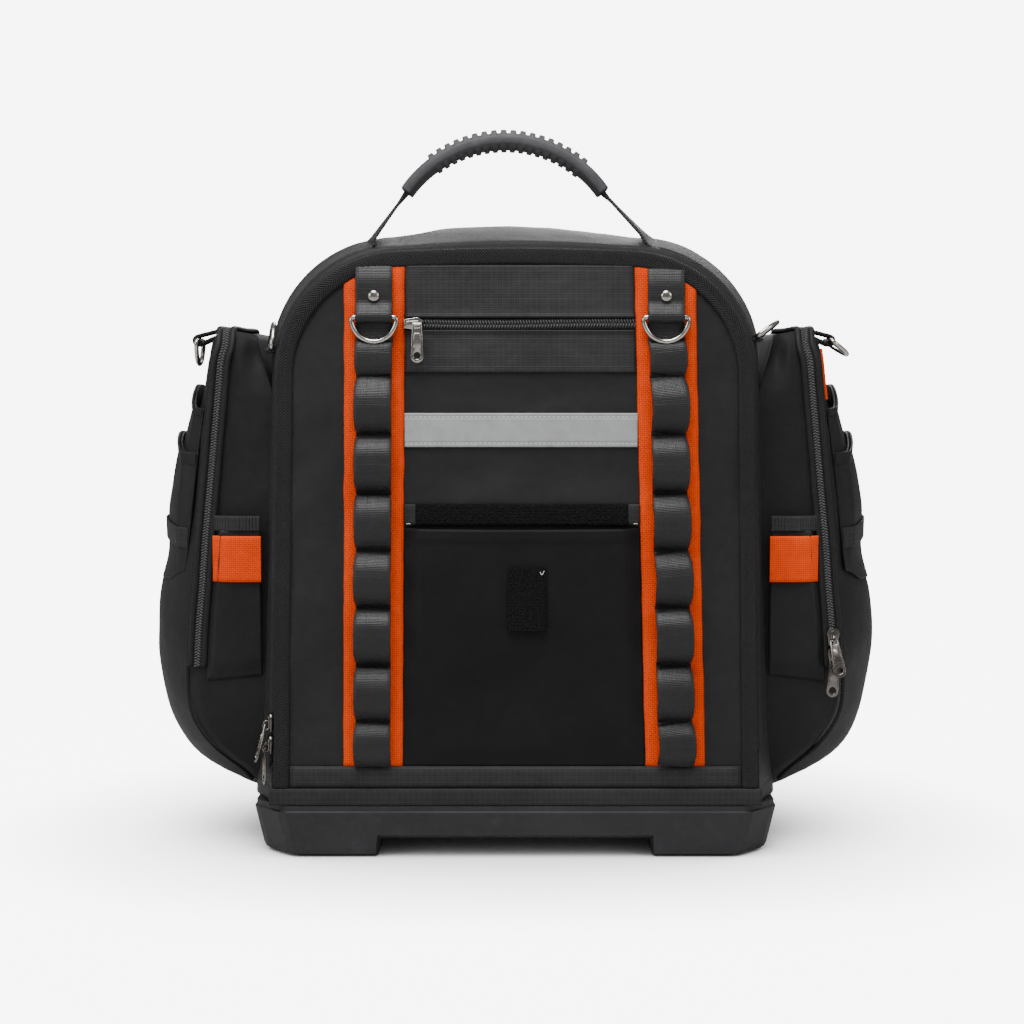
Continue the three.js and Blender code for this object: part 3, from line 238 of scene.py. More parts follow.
class Route:
    """A smooth line through points, read at even lengths, with the way out of the cloth."""

    def __init__(
        self, points: Sequence[Vector], outs: Sequence[Vector], steps: int, closed: bool = False
    ) -> None:
        """Samples the line.

        Args:
            points: What it passes through.
            outs: The way out of the cloth at each point.
            steps: How many even steps to cut it into.
            closed: Whether it runs round and meets.
        """
        fine, hints = self._curve(points, outs, closed)
        lengths = [0.0]
        for before, after in zip(fine, fine[1:]):
            lengths.append(lengths[-1] + (after - before).length)
        self.length = lengths[-1]
        self.steps = steps
        self.at: list[Vector] = []
        self.hint: list[Vector] = []
        seek = 0
        for step in range(steps + 1):
            goal = self.length * step / steps
            while seek < len(fine) - 2 and lengths[seek + 1] < goal:
                seek += 1
            share = (goal - lengths[seek]) / max(lengths[seek + 1] - lengths[seek], 1e-9)
            self.at.append(fine[seek].lerp(fine[seek + 1], share))
            self.hint.append(hints[seek].lerp(hints[seek + 1], share))
        self.closed = closed
        self._turn()

    @staticmethod
    def _curve(
        points: Sequence[Vector], outs: Sequence[Vector], closed: bool
    ) -> tuple[list[Vector], list[Vector]]:
        """The line in short stretches, with the way out at each.

        Args:
            points: What the line passes through.
            outs: The way out of the cloth at each.
            closed: Whether it meets its start.

        Returns:
            The points of the line and the way out at each.
        """
        count = len(points)
        spans = count if closed else count - 1
        fine, hints = [], []
        for i in range(spans):
            at = [(i + k) % count if closed else min(max(i + k, 0), count - 1) for k in (-1, 0, 1, 2)]
            a, b, c, d = (points[k] for k in at)
            for part in range(10):
                t = part / 10
                bent = 2 * b + (c - a) * t + (2 * a - 5 * b + 4 * c - d) * t * t
                fine.append((bent + (3 * b - a - 3 * c + d) * t ** 3) * 0.5)
                hints.append(outs[at[1]].lerp(outs[at[2]], t))
        fine.append(points[0].copy() if closed else points[-1].copy())
        hints.append(outs[0].copy() if closed else outs[-1].copy())
        return fine, hints

    def _turn(self) -> None:
        """Works out the ways along, across and out at each sample."""
        self.along, self.across, self.out = [], [], []
        for i, hint in enumerate(self.hint):
            if self.closed and i in (0, self.steps):
                ahead = self.at[1] - self.at[self.steps - 1]
            else:
                ahead = self.at[min(i + 1, self.steps)] - self.at[max(i - 1, 0)]
            along = ahead.normalized()
            out = (hint - along * hint.dot(along)).normalized()
            self.along.append(along)
            self.out.append(out)
            self.across.append(along.cross(out))

    def place(self, step: int, across: float, out: float) -> Vector:
        """A point beside the line, so far across it and so far out."""
        return self.at[step] + self.across[step] * across + self.out[step] * out


def flat_section(width: float, thick: float, face: int = 8, crown: float = 0.0) -> list[Pair]:
    """The section of a flat band with soft edges, as a ring of (across, out).

    Args:
        width: Its width.
        thick: Its thickness.
        face: Steps across its face.
        crown: How far its middle stands above its edges.

    Returns:
        The ring.
    """
    edge = min(thick * 0.5, width * 0.2)
    half = width / 2 - edge * 0.6
    front = []
    for i in range(face + 1):
        across = mix(-half, half, i / face)
        front.append((across, thick / 2 + crown * (1 - (across / half) ** 2)))
    right = [(width / 2, thick * 0.2), (width / 2, -thick * 0.2)]
    back = [(half, -thick / 2), (0.0, -thick / 2), (-half, -thick / 2)]
    left = [(-width / 2, -thick * 0.2), (-width / 2, thick * 0.2)]
    return front + right + back + left


def round_section(radius: float, sides: int = 12) -> list[Pair]:
    """A round section, as a ring of (across, out)."""
    turn = 2 * math.pi / sides
    return [(radius * math.sin(i * turn), radius * math.cos(i * turn)) for i in range(sides)]


def squared_section(sides: int, across: float, out: float, powers: Pair) -> list[Pair]:
    """A section between an ellipse and a box, as a ring of (across, out).

    Args:
        sides: Points round it.
        across: Its half width.
        out: Its half thickness.
        powers: How round it is across and out: 1 for an ellipse, less for a box.

    Returns:
        The ring.
    """
    ring = []
    for i in range(sides):
        turn = 2 * math.pi * i / sides
        x = math.copysign(abs(math.sin(turn)) ** powers[0], math.sin(turn))
        y = math.copysign(abs(math.cos(turn)) ** powers[1], math.cos(turn))
        ring.append((x * across, y * out))
    return ring


def swept(
    name: str,
    route: Route,
    section: Sequence[Pair],
    shape_at: Callable[[float], Pair] | None = None,
    lift_at: Callable[[float, float], float] | None = None,
) -> Piece:
    """Runs a section along a route.

    Args:
        name: The piece's name.
        route: The line it follows.
        section: The ring of (across, out) that runs along it.
        shape_at: Scales of the section across and out, from the share of the way along.
        lift_at: How far a point moves out, from its place across and its length along.

    Returns:
        The closed band or rod.
    """
    sides = len(section)

    def point(u: float, v: float) -> Vector:
        """Lays the section out along the route.

        Args:
            u: The share across it or round it.
            v: The share along it or up it.

        Returns:
            The place in millimetres.
        """
        step = round(v * route.steps)
        across, out = section[round(u * sides) % sides]
        wide, deep = shape_at(v) if shape_at else (1.0, 1.0)
        lift = lift_at(across, v * route.length) if lift_at else 0.0
        return route.place(step, across * wide, out * deep + lift)

    def cloth(u: float, v: float) -> Pair:
        """The threads run along the band."""
        return section[round(u * sides) % sides][0], v * route.length

    return Grid(name, sides, route.steps, point, cloth, ring=True, capped=not route.closed).build()


def spun(name: str, profile: Sequence[Pair], place: Matrix, steps: int = 28) -> Piece:
    """Spins a profile of (radius, height) round its own Z axis.

    Args:
        name: The piece's name.
        profile: The line from the axis out and back to it.
        place: Where it goes, in millimetres.
        steps: Faces round it.

    Returns:
        The turned piece.
    """
    shape = bmesh.new()
    corners = [shape.verts.new((r, 0.0, h)) for r, h in profile]
    edges = [shape.edges.new(pair) for pair in zip(corners, corners[1:])]
    bmesh.ops.spin(
        shape, geom=corners + edges, axis=Z, cent=(0, 0, 0), angle=2 * math.pi, steps=steps, use_merge=True
    )
    bmesh.ops.remove_doubles(shape, verts=shape.verts, dist=1e-4)
    bmesh.ops.recalc_face_normals(shape, faces=shape.faces)
    for vert in shape.verts:
        vert.co = to_frame(place @ vert.co)
    return object_from(name, shape)


def joined(name: str, parts: Sequence[Piece]) -> Piece:
    """Joins meshes into one piece.

    Args:
        name: The new piece's name.
        parts: The meshes, which are used up.

    Returns:
        The joined object.
    """
    shape = bmesh.new()
    graph = bpy.context.evaluated_depsgraph_get()
    for part in parts:
        part.update_tag()
    graph.update()
    for part in parts:
        shaped = part.evaluated_get(graph)
        shape.from_mesh(shaped.to_mesh())
        shaped.to_mesh_clear()
        bpy.data.objects.remove(part)
    return object_from(name, shape)


def basis(origin: Vector, x: Vector, y: Vector, z: Vector) -> Matrix:
    """The place with its own axes along x, y and z.

    Args:
        origin: Where it is.
        x: Its first axis.
        y: Its second.
        z: Its third.

    Returns:
        The place as a matrix.
    """
    made = Matrix((x, y, z)).transposed().to_4x4()
    made.translation = origin
    return made


# Shading


def srgb(red: int, green: int, blue: int) -> tuple[float, float, float, float]:
    """A screen colour from 0 to 255 as the shader's linear colour.

    Args:
        red: From 0 to 255.
        green: From 0 to 255.
        blue: From 0 to 255.

    Returns:
        The colour with full alpha.
    """

    def linear(value: int) -> float:
        """One channel made linear."""
        share = value / 255
        return share / 12.92 if share <= 0.04045 else ((share + 0.055) / 1.055) ** 2.4

    return linear(red), linear(green), linear(blue), 1.0


Input = float | tuple | Vector | Socket


class Graph:
    """Adds shader nodes to one tree and joins them."""

    def __init__(self, tree: bpy.types.NodeTree) -> None:
        """Takes the tree to add to."""
        self.tree = tree

    def node(self, kind: str, sockets: dict | None = None, **settings: object) -> bpy.types.Node:
        """Adds a node.

        Args:
            kind: Blender's name for it.
            sockets: Values for its inputs, or other nodes' sockets to join to them.
            settings: Its own properties.

        Returns:
            The node.
        """
        made = self.tree.nodes.new(kind)
        for key, value in settings.items():
            setattr(made, key, value)
        for key, value in (sockets or {}).items():
            if isinstance(value, Socket):
                self.tree.links.new(value, made.inputs[key])
            else:
                made.inputs[key].default_value = value
        return made

    def math(self, operation: str, first: Input, second: Input = 0.0, third: Input = 0.0) -> Socket:
        """One sum on numbers, such as "ADD", and its result."""
        sockets = {0: first, 1: second, 2: third}
        return self.node("ShaderNodeMath", sockets, operation=operation).outputs[0]

    def times(self, first: Input, second: Input) -> Socket:
        """One number times another."""
        return self.math("MULTIPLY", first, second)

    def plus(self, first: Input, second: Input) -> Socket:
        """One number and another."""
        return self.math("ADD", first, second)

    def times_plus(self, first: Input, second: Input, third: Input) -> Socket:
        """One number times another, and a third."""
        return self.math("MULTIPLY_ADD", first, second, third)

    def wave(self, value: Input, turn: Input) -> Socket:
        """A row of humps: the size of a sine."""
        return self.math("ABSOLUTE", self.math("SINE", self.times(value, turn)))

    def between(self, value: Input, low: float, high: float, to_low: float, to_high: float) -> Socket:
        """A value from one range laid onto another, held at both ends."""
        sockets = {0: value, 1: low, 2: high, 3: to_low, 4: to_high}
        return self.node("ShaderNodeMapRange", sockets, clamp=True).outputs[0]

    def noise(self, vector: Input, scale: float, detail: float = 2.0) -> Socket:
        """A cloudy pattern from 0 to 1."""
        sockets = {"Vector": vector, "Scale": scale, "Detail": detail}
        return self.node("ShaderNodeTexNoise", sockets).outputs[0]

    def blend(self, factor: Input, first: Input, second: Input) -> Socket:
        """A colour between two others."""
        made = self.node("ShaderNodeMix", {0: factor, 6: first, 7: second}, data_type="RGBA")
        return made.outputs[2]

    def group(self, group: bpy.types.NodeTree, sockets: dict) -> bpy.types.Node:
        """Places one of the shared groups."""
        return self.node("ShaderNodeGroup", sockets, node_tree=group)

    def uv(self) -> Socket:
        """The cloth's own map: across and along its threads, in millimetres."""
        return self.node("ShaderNodeUVMap", uv_map=CLOTH_MAP).outputs[0]

    def dress(self, shader: bpy.types.Node, colour: Input, rough: Input, relief: Input) -> None:
        """Joins a colour, a roughness and a relief in millimetres to a shader.

        Args:
            shader: The material's Principled shader.
            colour: Its base colour.
            rough: Its roughness, a socket or one number.
            relief: How far the surface stands up.
        """
        bump = self.node("ShaderNodeBump", {"Distance": METRE, "Height": relief})
        for label, value in (("Base Color", colour), ("Roughness", rough), ("Normal", bump.outputs[0])):
            if isinstance(value, Socket):
                self.tree.links.new(value, shader.inputs[label])
            else:
                shader.inputs[label].default_value = value


class Patterns:
    """The shared node groups: threads, ribs, twill, stitches and mottle, in millimetres."""

    def __init__(self) -> None:
        """Builds each group once."""
        self.weave = self._weave()
        self.twill = self._twill()
        self.ribs = self._ribs()
        self.stitches = self._stitches()
        self.mottle = self._mottle()

    @staticmethod
    def _start(
        name: str, numbers: dict[str, float], outputs: Sequence[str],
    ) -> tuple[Graph, bpy.types.Node, bpy.types.Node]:
        """An empty group with a Vector, some numbers and number outputs.

        Args:
            name: The group's name.
            numbers: Its number inputs and what they start at.
            outputs: Its outputs.

        Returns:
            The graph, its input node and its output node.
        """
        tree = bpy.data.node_groups.new(name, "ShaderNodeTree")
        tree.interface.new_socket("Vector", in_out="INPUT", socket_type="NodeSocketVector")
        for label, value in numbers.items():
            socket = tree.interface.new_socket(label, in_out="INPUT", socket_type="NodeSocketFloat")
            socket.default_value = value
        for label in outputs:
            tree.interface.new_socket(label, in_out="OUTPUT", socket_type="NodeSocketFloat")
        graph = Graph(tree)
        return graph, graph.node("NodeGroupInput"), graph.node("NodeGroupOutput")

    def _weave(self) -> bpy.types.NodeTree:
        """Plain weave: threads over and under each other.

        Returns:
            The group.
        """
        graph, given, made = self._start("plain weave", {"Pitch": 0.8}, ["Height"])
        split = graph.node("ShaderNodeSeparateXYZ", {0: given.outputs["Vector"]})
        turn = graph.math("DIVIDE", math.pi, given.outputs["Pitch"])
        warp = graph.math("SINE", graph.times(split.outputs[0], turn))
        weft = graph.math("SINE", graph.times(split.outputs[1], turn))
        over = graph.math("GREATER_THAN", graph.times(warp, weft), 0.0)
        under = graph.math("SUBTRACT", 1.0, over)
        warps = graph.times(graph.math("ABSOLUTE", warp), over)
        wefts = graph.times(graph.math("ABSOLUTE", weft), under)
        graph.tree.links.new(graph.plus(warps, wefts), made.inputs["Height"])
        return graph.tree

    def _twill(self) -> bpy.types.NodeTree:
        """Twill tape: slanting ribs that turn back along the middle.

        Returns:
            The group.
        """
        graph, given, made = self._start("twill ribs", {"Pitch": 1.6}, ["Height"])
        split = graph.node("ShaderNodeSeparateXYZ", {0: given.outputs["Vector"]})
        across = graph.math("ABSOLUTE", split.outputs[0])
        slant = graph.plus(graph.times(across, 1.1), split.outputs[1])
        turn = graph.math("DIVIDE", math.pi, given.outputs["Pitch"])
        rib = graph.wave(slant, turn)
        thread = graph.wave(split.outputs[0], 5.2)
        total = graph.plus(graph.times(rib, 0.8), graph.times(thread, 0.2))
        graph.tree.links.new(total, made.inputs["Height"])
        return graph.tree

    def _ribs(self) -> bpy.types.NodeTree:
        """Webbing: fine ribs across it and a raised check of heavier yarns.

        Returns:
            The group.
        """
        graph, given, made = self._start("webbing ribs", {"Rib": 1.3, "Check": 4.4}, ["Height", "Check"])
        split = graph.node("ShaderNodeSeparateXYZ", {0: given.outputs["Vector"]})
        turn = graph.math("DIVIDE", math.pi, given.outputs["Rib"])
        check = graph.math("DIVIDE", math.pi, given.outputs["Check"])
        rib = graph.wave(split.outputs[1], turn)
        cord = graph.wave(split.outputs[0], turn)
        bars = []
        for axis in (0, 1):
            wave = graph.wave(split.outputs[axis], check)
            bars.append(graph.between(wave, 0.0, 0.3, 1.0, 0.0))
        lines = graph.math("MAXIMUM", *bars)
        fine = graph.plus(graph.times(rib, 0.55), graph.times(cord, 0.3))
        total = graph.plus(fine, graph.times(lines, 0.2))
        graph.tree.links.new(total, made.inputs["Height"])
        graph.tree.links.new(lines, made.inputs["Check"])
        return graph.tree

    def _stitches(self) -> bpy.types.NodeTree:
        """A row of stitches on each side of the middle, so far from it.

        Returns:
            The group.
        """
        numbers = {"Row": 10.0, "Pitch": 3.2, "Width": 0.8}
        graph, given, made = self._start("stitch rows", numbers, ["Mask", "Dent"])
        split = graph.node("ShaderNodeSeparateXYZ", {0: given.outputs["Vector"]})
        side = graph.math("ABSOLUTE", split.outputs[0])
        away = graph.math("ABSOLUTE", graph.math("SUBTRACT", side, given.outputs["Row"]))
        near = graph.math("DIVIDE", away, given.outputs["Width"])
        line = graph.between(near, 0.35, 0.6, 1.0, 0.0)
        step = graph.math("DIVIDE", split.outputs[1], given.outputs["Pitch"])
        dash = graph.math("PINGPONG", step, 0.5)
        thread = graph.between(dash, 0.16, 0.24, 0.0, 1.0)
        graph.tree.links.new(graph.times(line, thread), made.inputs["Mask"])
        graph.tree.links.new(graph.between(near, 0.4, 2.2, 1.0, 0.0), made.inputs["Dent"])
        return graph.tree

    def _mottle(self) -> bpy.types.NodeTree:
        """Uneven dye and handling: broad clouds with finer ones in them.

        Returns:
            The group.
        """
        graph, given, made = self._start("mottle", {"Broad": 60.0, "Fine": 7.0}, ["Shade", "Crumple"])
        clouds = []
        for label in ("Broad", "Fine"):
            scale = graph.math("DIVIDE", 1.0, given.outputs[label])
            sockets = {"Vector": given.outputs["Vector"], "Scale": scale, "Detail": 3.0}
            clouds.append(graph.node("ShaderNodeTexNoise", sockets).outputs[0])
        mean = graph.plus(graph.times(clouds[0], 0.65), graph.times(clouds[1], 0.35))
        graph.tree.links.new(graph.between(mean, 0.3, 0.7, 0.0, 1.0), made.inputs["Shade"])
        graph.tree.links.new(clouds[0], made.inputs["Crumple"])
        return graph.tree


PATTERNS = Patterns()


class Cloth(Enum):
    """How a cloth is woven."""

    PLAIN = "plain"
    TWILL = "twill"
    RIBBED = "ribbed"
    MESH = "mesh"


@dataclass(frozen=True)
class Finish:
    """What every finish has: a name, the record's slot, and two shades between which it varies."""

    name: str
    slot: str
    dark: tuple[float, float, float, float]
    light: tuple[float, float, float, float]

    def start(self) -> tuple[bpy.types.Material, Graph, bpy.types.Node, Socket]:
        """A new material with its shader.

        Returns:
            The material, its graph, its Principled shader and the place on the bag in millimetres.
        """
        material = bpy.data.materials.new(self.name)
        material.use_nodes = True
        graph = Graph(material.node_tree)
        shader = material.node_tree.nodes["Principled BSDF"]
        place = graph.node("ShaderNodeTexCoord").outputs["Object"]
        scaled = graph.node("ShaderNodeVectorMath", {0: place, 1: (1000.0,) * 3}, operation="MULTIPLY")
        return material, graph, shader, scaled.outputs[0]

    def material(self) -> bpy.types.Material:
        """The finished material, made once."""
        found = bpy.data.materials.get(self.name)
        return found if found else self.make()

    def make(self) -> bpy.types.Material:
        """Builds the material."""
        raise NotImplementedError


@dataclass(frozen=True)
class Woven(Finish):
    """Woven cloth or webbing, with its threads, its stitches and a soft sheen. The thread pattern is drawn as
    painted shade: raised threads lighter, the hollows between them darker.
    """

    cloth: Cloth = Cloth.PLAIN
    pitch: float = 0.75
    relief: float = 0.1
    rough: float = 0.72
    sheen: float = 0.02
    shine: float = 0.2
    crumple: float = 0.5
    # share of the colour that is painted shade following the threads' relief; the rest is random mottle
    marked: float = 0.45
    check: float = 0.16
    stitch_row: float = -1.0
    thread: tuple[float, float, float, float] = srgb(58, 58, 60)

    def make(self) -> bpy.types.Material:
        """Builds the cloth's material.

        Returns:
            The material.
        """
        material, graph, shader, place = self.start()
        cloth = graph.uv()
        mottle = graph.group(PATTERNS.mottle, {"Vector": place})
        height, edge = self._threads(graph, cloth)
        clouds = graph.times(mottle.outputs["Shade"], 1.0 - self.marked)
        # painted shade: raised threads lighter and the hollows between them darker, mixed with the random
        # mottle
        shade = graph.times_plus(height, self.marked, clouds)
        if edge is not None:
            shade = graph.times_plus(edge, self.check, shade)
        colour = graph.blend(shade, self.dark, self.light)
        relief = graph.times(height, self.relief)
        relief = graph.times_plus(mottle.outputs["Crumple"], self.crumple, relief)
        if self.stitch_row >= 0:
            rows = graph.group(PATTERNS.stitches, {"Vector": cloth, "Row": self.stitch_row})
            colour = graph.blend(rows.outputs["Mask"], colour, self.thread)
            relief = graph.times_plus(rows.outputs["Dent"], -0.35, relief)
            relief = graph.times_plus(rows.outputs["Mask"], 0.4, relief)
        rough = graph.times_plus(height, -0.08, self.rough + 0.04)
        graph.dress(shader, colour, rough, relief)
        shader.inputs["Sheen Weight"].default_value = self.sheen
        shader.inputs["Sheen Roughness"].default_value = 0.45
        shader.inputs["Specular IOR Level"].default_value = self.shine
        return material

    def _threads(self, graph: Graph, cloth: Socket) -> tuple[Socket, Socket | None]:
        """The height of the threads, and a mask of the heavier yarns where there are some.

        Args:
            graph: The material's graph.
            cloth: The cloth's own map.

        Returns:
            The height, and the mask or none.
        """
        if self.cloth is Cloth.TWILL:
            return graph.group(PATTERNS.twill, {"Vector": cloth, "Pitch": self.pitch}).outputs["Height"], None
        if self.cloth is Cloth.RIBBED:
            ribs = graph.group(PATTERNS.ribs, {"Vector": cloth, "Rib": self.pitch, "Check": self.pitch * 3.4})
            return ribs.outputs["Height"], ribs.outputs["Check"]
        if self.cloth is Cloth.MESH:
            cells = {"Vector": cloth, "Scale": 1.0 / self.pitch, "Randomness": 0.0}
            cell = graph.node("ShaderNodeTexVoronoi", cells, feature="DISTANCE_TO_EDGE").outputs["Distance"]
            return graph.between(cell, 0.08, 0.32, 1.0, 0.0), None
        return graph.group(PATTERNS.weave, {"Vector": cloth, "Pitch": self.pitch}).outputs["Height"], None


@dataclass(frozen=True)
class Coiled(Finish):
    """A closed coil zip: slanting turns of two coils on a dark tape, each turn coloured lighter towards its
    crest as a painted highlight.
    """

    pitch: float = 2.0
    half: float = 2.4
    lean: float = 0.2

    def make(self) -> bpy.types.Material:
        """Builds the zip's material.

        Returns:
            The material.
        """
        material, graph, shader, _ = self.start()
        cloth = graph.uv()
        split = graph.node("ShaderNodeSeparateXYZ", {0: cloth})
        across = graph.math("ABSOLUTE", split.outputs[0])
        row = graph.math("GREATER_THAN", split.outputs[0], 0.0)
        run = graph.math("DIVIDE", split.outputs[1], self.pitch)
        phase = graph.times_plus(row, 0.5, graph.times_plus(across, self.lean, run))
        turn = graph.wave(phase, math.pi)
        on_coil = graph.between(across, self.half, self.half + 0.25, 1.0, 0.0)
        # painted highlight: each coil turn is coloured lighter towards its crest, and the tape's threads get
        # faint painted shade
        tooth = graph.times(graph.between(turn, 0.5, 0.97, 0.0, 1.0), on_coil)
        weave = graph.group(PATTERNS.weave, {"Vector": cloth, "Pitch": 0.8}).outputs["Height"]
        shade = graph.math("MAXIMUM", tooth, graph.times(weave, 0.12))
        colour = graph.blend(shade, self.dark, self.light)
        rough = graph.between(tooth, 0.0, 1.0, 0.7, 0.36)
        graph.dress(shader, colour, rough, graph.times(shade, 0.5))
        shader.inputs["Specular IOR Level"].default_value = 0.35
        return material


@dataclass(frozen=True)
class Moulded(Finish):
    """Moulded rubber or plastic with a fine grain."""

    rough: float = 0.5
    grain: float = 0.05

    def make(self) -> bpy.types.Material:
        """Builds the moulding's material.

        Returns:
            The material.
        """
        material, graph, shader, place = self.start()
        mottle = graph.group(PATTERNS.mottle, {"Vector": place, "Broad": 45.0, "Fine": 4.0})
        fine = graph.noise(place, 1.4, 3.0)
        scuff = graph.between(graph.noise(place, 0.09, 5.0), 0.56, 0.7, 0.0, 1.0)
        shade = graph.times_plus(scuff, 0.3, graph.times(mottle.outputs["Shade"], 0.7))
        colour = graph.blend(shade, self.dark, self.light)
        rough = graph.times_plus(mottle.outputs["Shade"], 0.12, self.rough - 0.06)
        graph.dress(shader, colour, rough, graph.times(fine, self.grain))
        shader.inputs["Specular IOR Level"].default_value = 0.3
        return material


@dataclass(frozen=True)
class Plated(Finish):
    """Plated metal, clouded and scratched by handling."""

    rough: float = 0.16

    def make(self) -> bpy.types.Material:
        """Builds the plating's material.

        Returns:
            The material.
        """
        material, graph, shader, place = self.start()
        cloud = graph.noise(place, 0.25, 4.0)
        scratch = graph.noise(place, 3.2, 2.0)
        colour = graph.blend(cloud, self.dark, self.light)
        rough = graph.times_plus(cloud, 0.16, self.rough)
        graph.dress(shader, colour, rough, graph.times(scratch, 0.012))
        shader.inputs["Metallic"].default_value = 1.0
        return material


@dataclass(frozen=True)
class Fuzz(Finish):
    """Loop tape: a dense mat of tiny loops in rows."""

    row_pitch: float = 2.2

    def make(self) -> bpy.types.Material:
        """Builds the fuzzy tape's material.

        Returns:
            The material.
        """
        material, graph, shader, place = self.start()
        cloth = graph.uv()
        loops = graph.node("ShaderNodeTexVoronoi", {"Vector": place, "Scale": 1.1}).outputs["Distance"]
        rows = graph.group(PATTERNS.weave, {"Vector": cloth, "Pitch": self.row_pitch}).outputs["Height"]
        strands = graph.noise(place, 0.9, 5.0)
        height = graph.times_plus(rows, 0.4, graph.plus(loops, strands))
        colour = graph.blend(graph.between(height, 0.6, 1.5, 0.0, 1.0), self.dark, self.light)
        graph.dress(shader, colour, 0.95, graph.times(height, 0.8))
        shader.inputs["Specular IOR Level"].default_value = 0.1
        return material


COATED = Woven(
    "coated polyester", "coated_cloth", srgb(15, 15, 16), srgb(37, 37, 38),
    pitch=0.85, relief=0.09, rough=0.5, shine=0.3, crumple=3.6,
)
POCKET_CLOTH = Woven(
    "pocket polyester", "coated_cloth", srgb(14, 14, 15), srgb(34, 34, 35),
    pitch=0.85, relief=0.1, rough=0.5, shine=0.24, crumple=4.2,
)
SLIP_CLOTH = Woven(
    "slip pocket cloth", "coated_cloth", srgb(13, 13, 14), srgb(26, 26, 27),
    pitch=0.7, relief=0.06, rough=0.6, shine=0.15, crumple=2.4,
)
SPACER_MESH = Woven(
    "spacer mesh", "coated_cloth", srgb(12, 12, 13), srgb(44, 44, 46), Cloth.MESH,
    pitch=3.0, relief=0.8, rough=0.85, crumple=0.3,
)
BAND = Woven(
    "black band", "webbing", srgb(12, 12, 13), srgb(54, 54, 55), Cloth.RIBBED,
    pitch=1.15, relief=0.3, rough=0.55, shine=0.22, crumple=1.4, marked=0.6,
)
LOOP_BAND = Woven(
    "loop webbing", "webbing", srgb(11, 11, 12), srgb(34, 34, 35), Cloth.RIBBED,
    pitch=1.2, relief=0.2, rough=0.44, shine=0.42, crumple=0.9, check=0.04,
)
BINDING = Woven(
    "twill binding", "webbing", srgb(3, 3, 4), srgb(50, 50, 51), Cloth.TWILL,
    pitch=2.2, relief=0.8, rough=0.6, shine=0.12, crumple=0.6, marked=0.85,
)
STRAP = Woven(
    "strap webbing", "webbing", srgb(5, 5, 6), srgb(64, 64, 65), Cloth.TWILL,
    pitch=2.2, relief=0.6, rough=0.55, shine=0.2, crumple=0.2, marked=0.8,
)
ORANGE = Woven(
    "orange webbing", "orange_webbing", srgb(182, 34, 2), srgb(254, 82, 8),
    pitch=1.5, relief=0.2, rough=0.66, sheen=0.0, shine=0.1, crumple=0.5, marked=0.6,
)
REFLECTIVE = Woven(
    "reflective tape", "reflective_tape", srgb(126, 127, 128), srgb(178, 179, 180),
    pitch=0.5, relief=0.03, rough=0.42, sheen=0.0, shine=0.4, crumple=0.9,
    stitch_row=9.2, thread=srgb(196, 197, 198),
)
# its light colour is the painted highlight on the crests of the coil turns
COIL = Coiled("zip coil", "zip", srgb(4, 4, 5), srgb(84, 84, 86))
LOOP_TAPE = Fuzz("loop tape", "hook_tape", srgb(6, 6, 7), srgb(27, 27, 28))
RUBBER = Moulded("tub rubber", "base_rubber", srgb(38, 38, 40), srgb(54, 54, 56), rough=0.5, grain=0.06)
GRIP_RUBBER = Moulded("grip rubber", "grip_rubber", srgb(58, 58, 60), srgb(88, 88, 90), rough=0.6, grain=0.1)
NICKEL = Plated("nickel plate", "nickel", srgb(176, 172, 164), srgb(224, 220, 212), rough=0.12)
GUNMETAL = Plated("dark nickel plate", "gunmetal", srgb(92, 88, 84), srgb(150, 144, 138), rough=0.18)
# a lighter copy of the gunmetal finish, for the front zip's slider and pull and for the rivets
LIGHT_GUNMETAL = Plated("worn nickel plate", "gunmetal", srgb(150, 146, 140), srgb(206, 202, 194), rough=0.14)
WHITE_THREAD = Woven(
    "white thread", "webbing", srgb(170, 170, 168), srgb(220, 220, 216), Cloth.TWILL, pitch=0.6,
    relief=0.1,
)


def deliver(piece: Piece, finish: Finish, *nodes: str, body: str = BAG) -> Piece:
    """Dresses a piece, seats it on its body and hides the CAD nodes that it stands for.

    Args:
        piece: The new object.
        finish: What it is made of.
        nodes: The CAD nodes that it replaces.
        body: The CAD body that it moves with.

    Returns:
        The piece.
    """
    piece.data.materials.clear()
    piece.data.materials.append(finish.material())
    if nodes:
        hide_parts(*nodes)
    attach(piece, body)
    LOG.info("%s: %d faces, %s", piece.name, len(piece.data.polygons), finish.name)
    return piece


def hinge_of(node: str) -> tuple[Vector, Vector]:
    """A hinged piece's pivot in millimetres and its bar's direction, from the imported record."""
    joint = next(j for j in frame["joints"] if j["child"] == f"{node}_body")
    return (Vector(joint["pos_m"]) - DRAWING_SHIFT) / METRE, Vector(joint["axis"]).normalized()


# Body


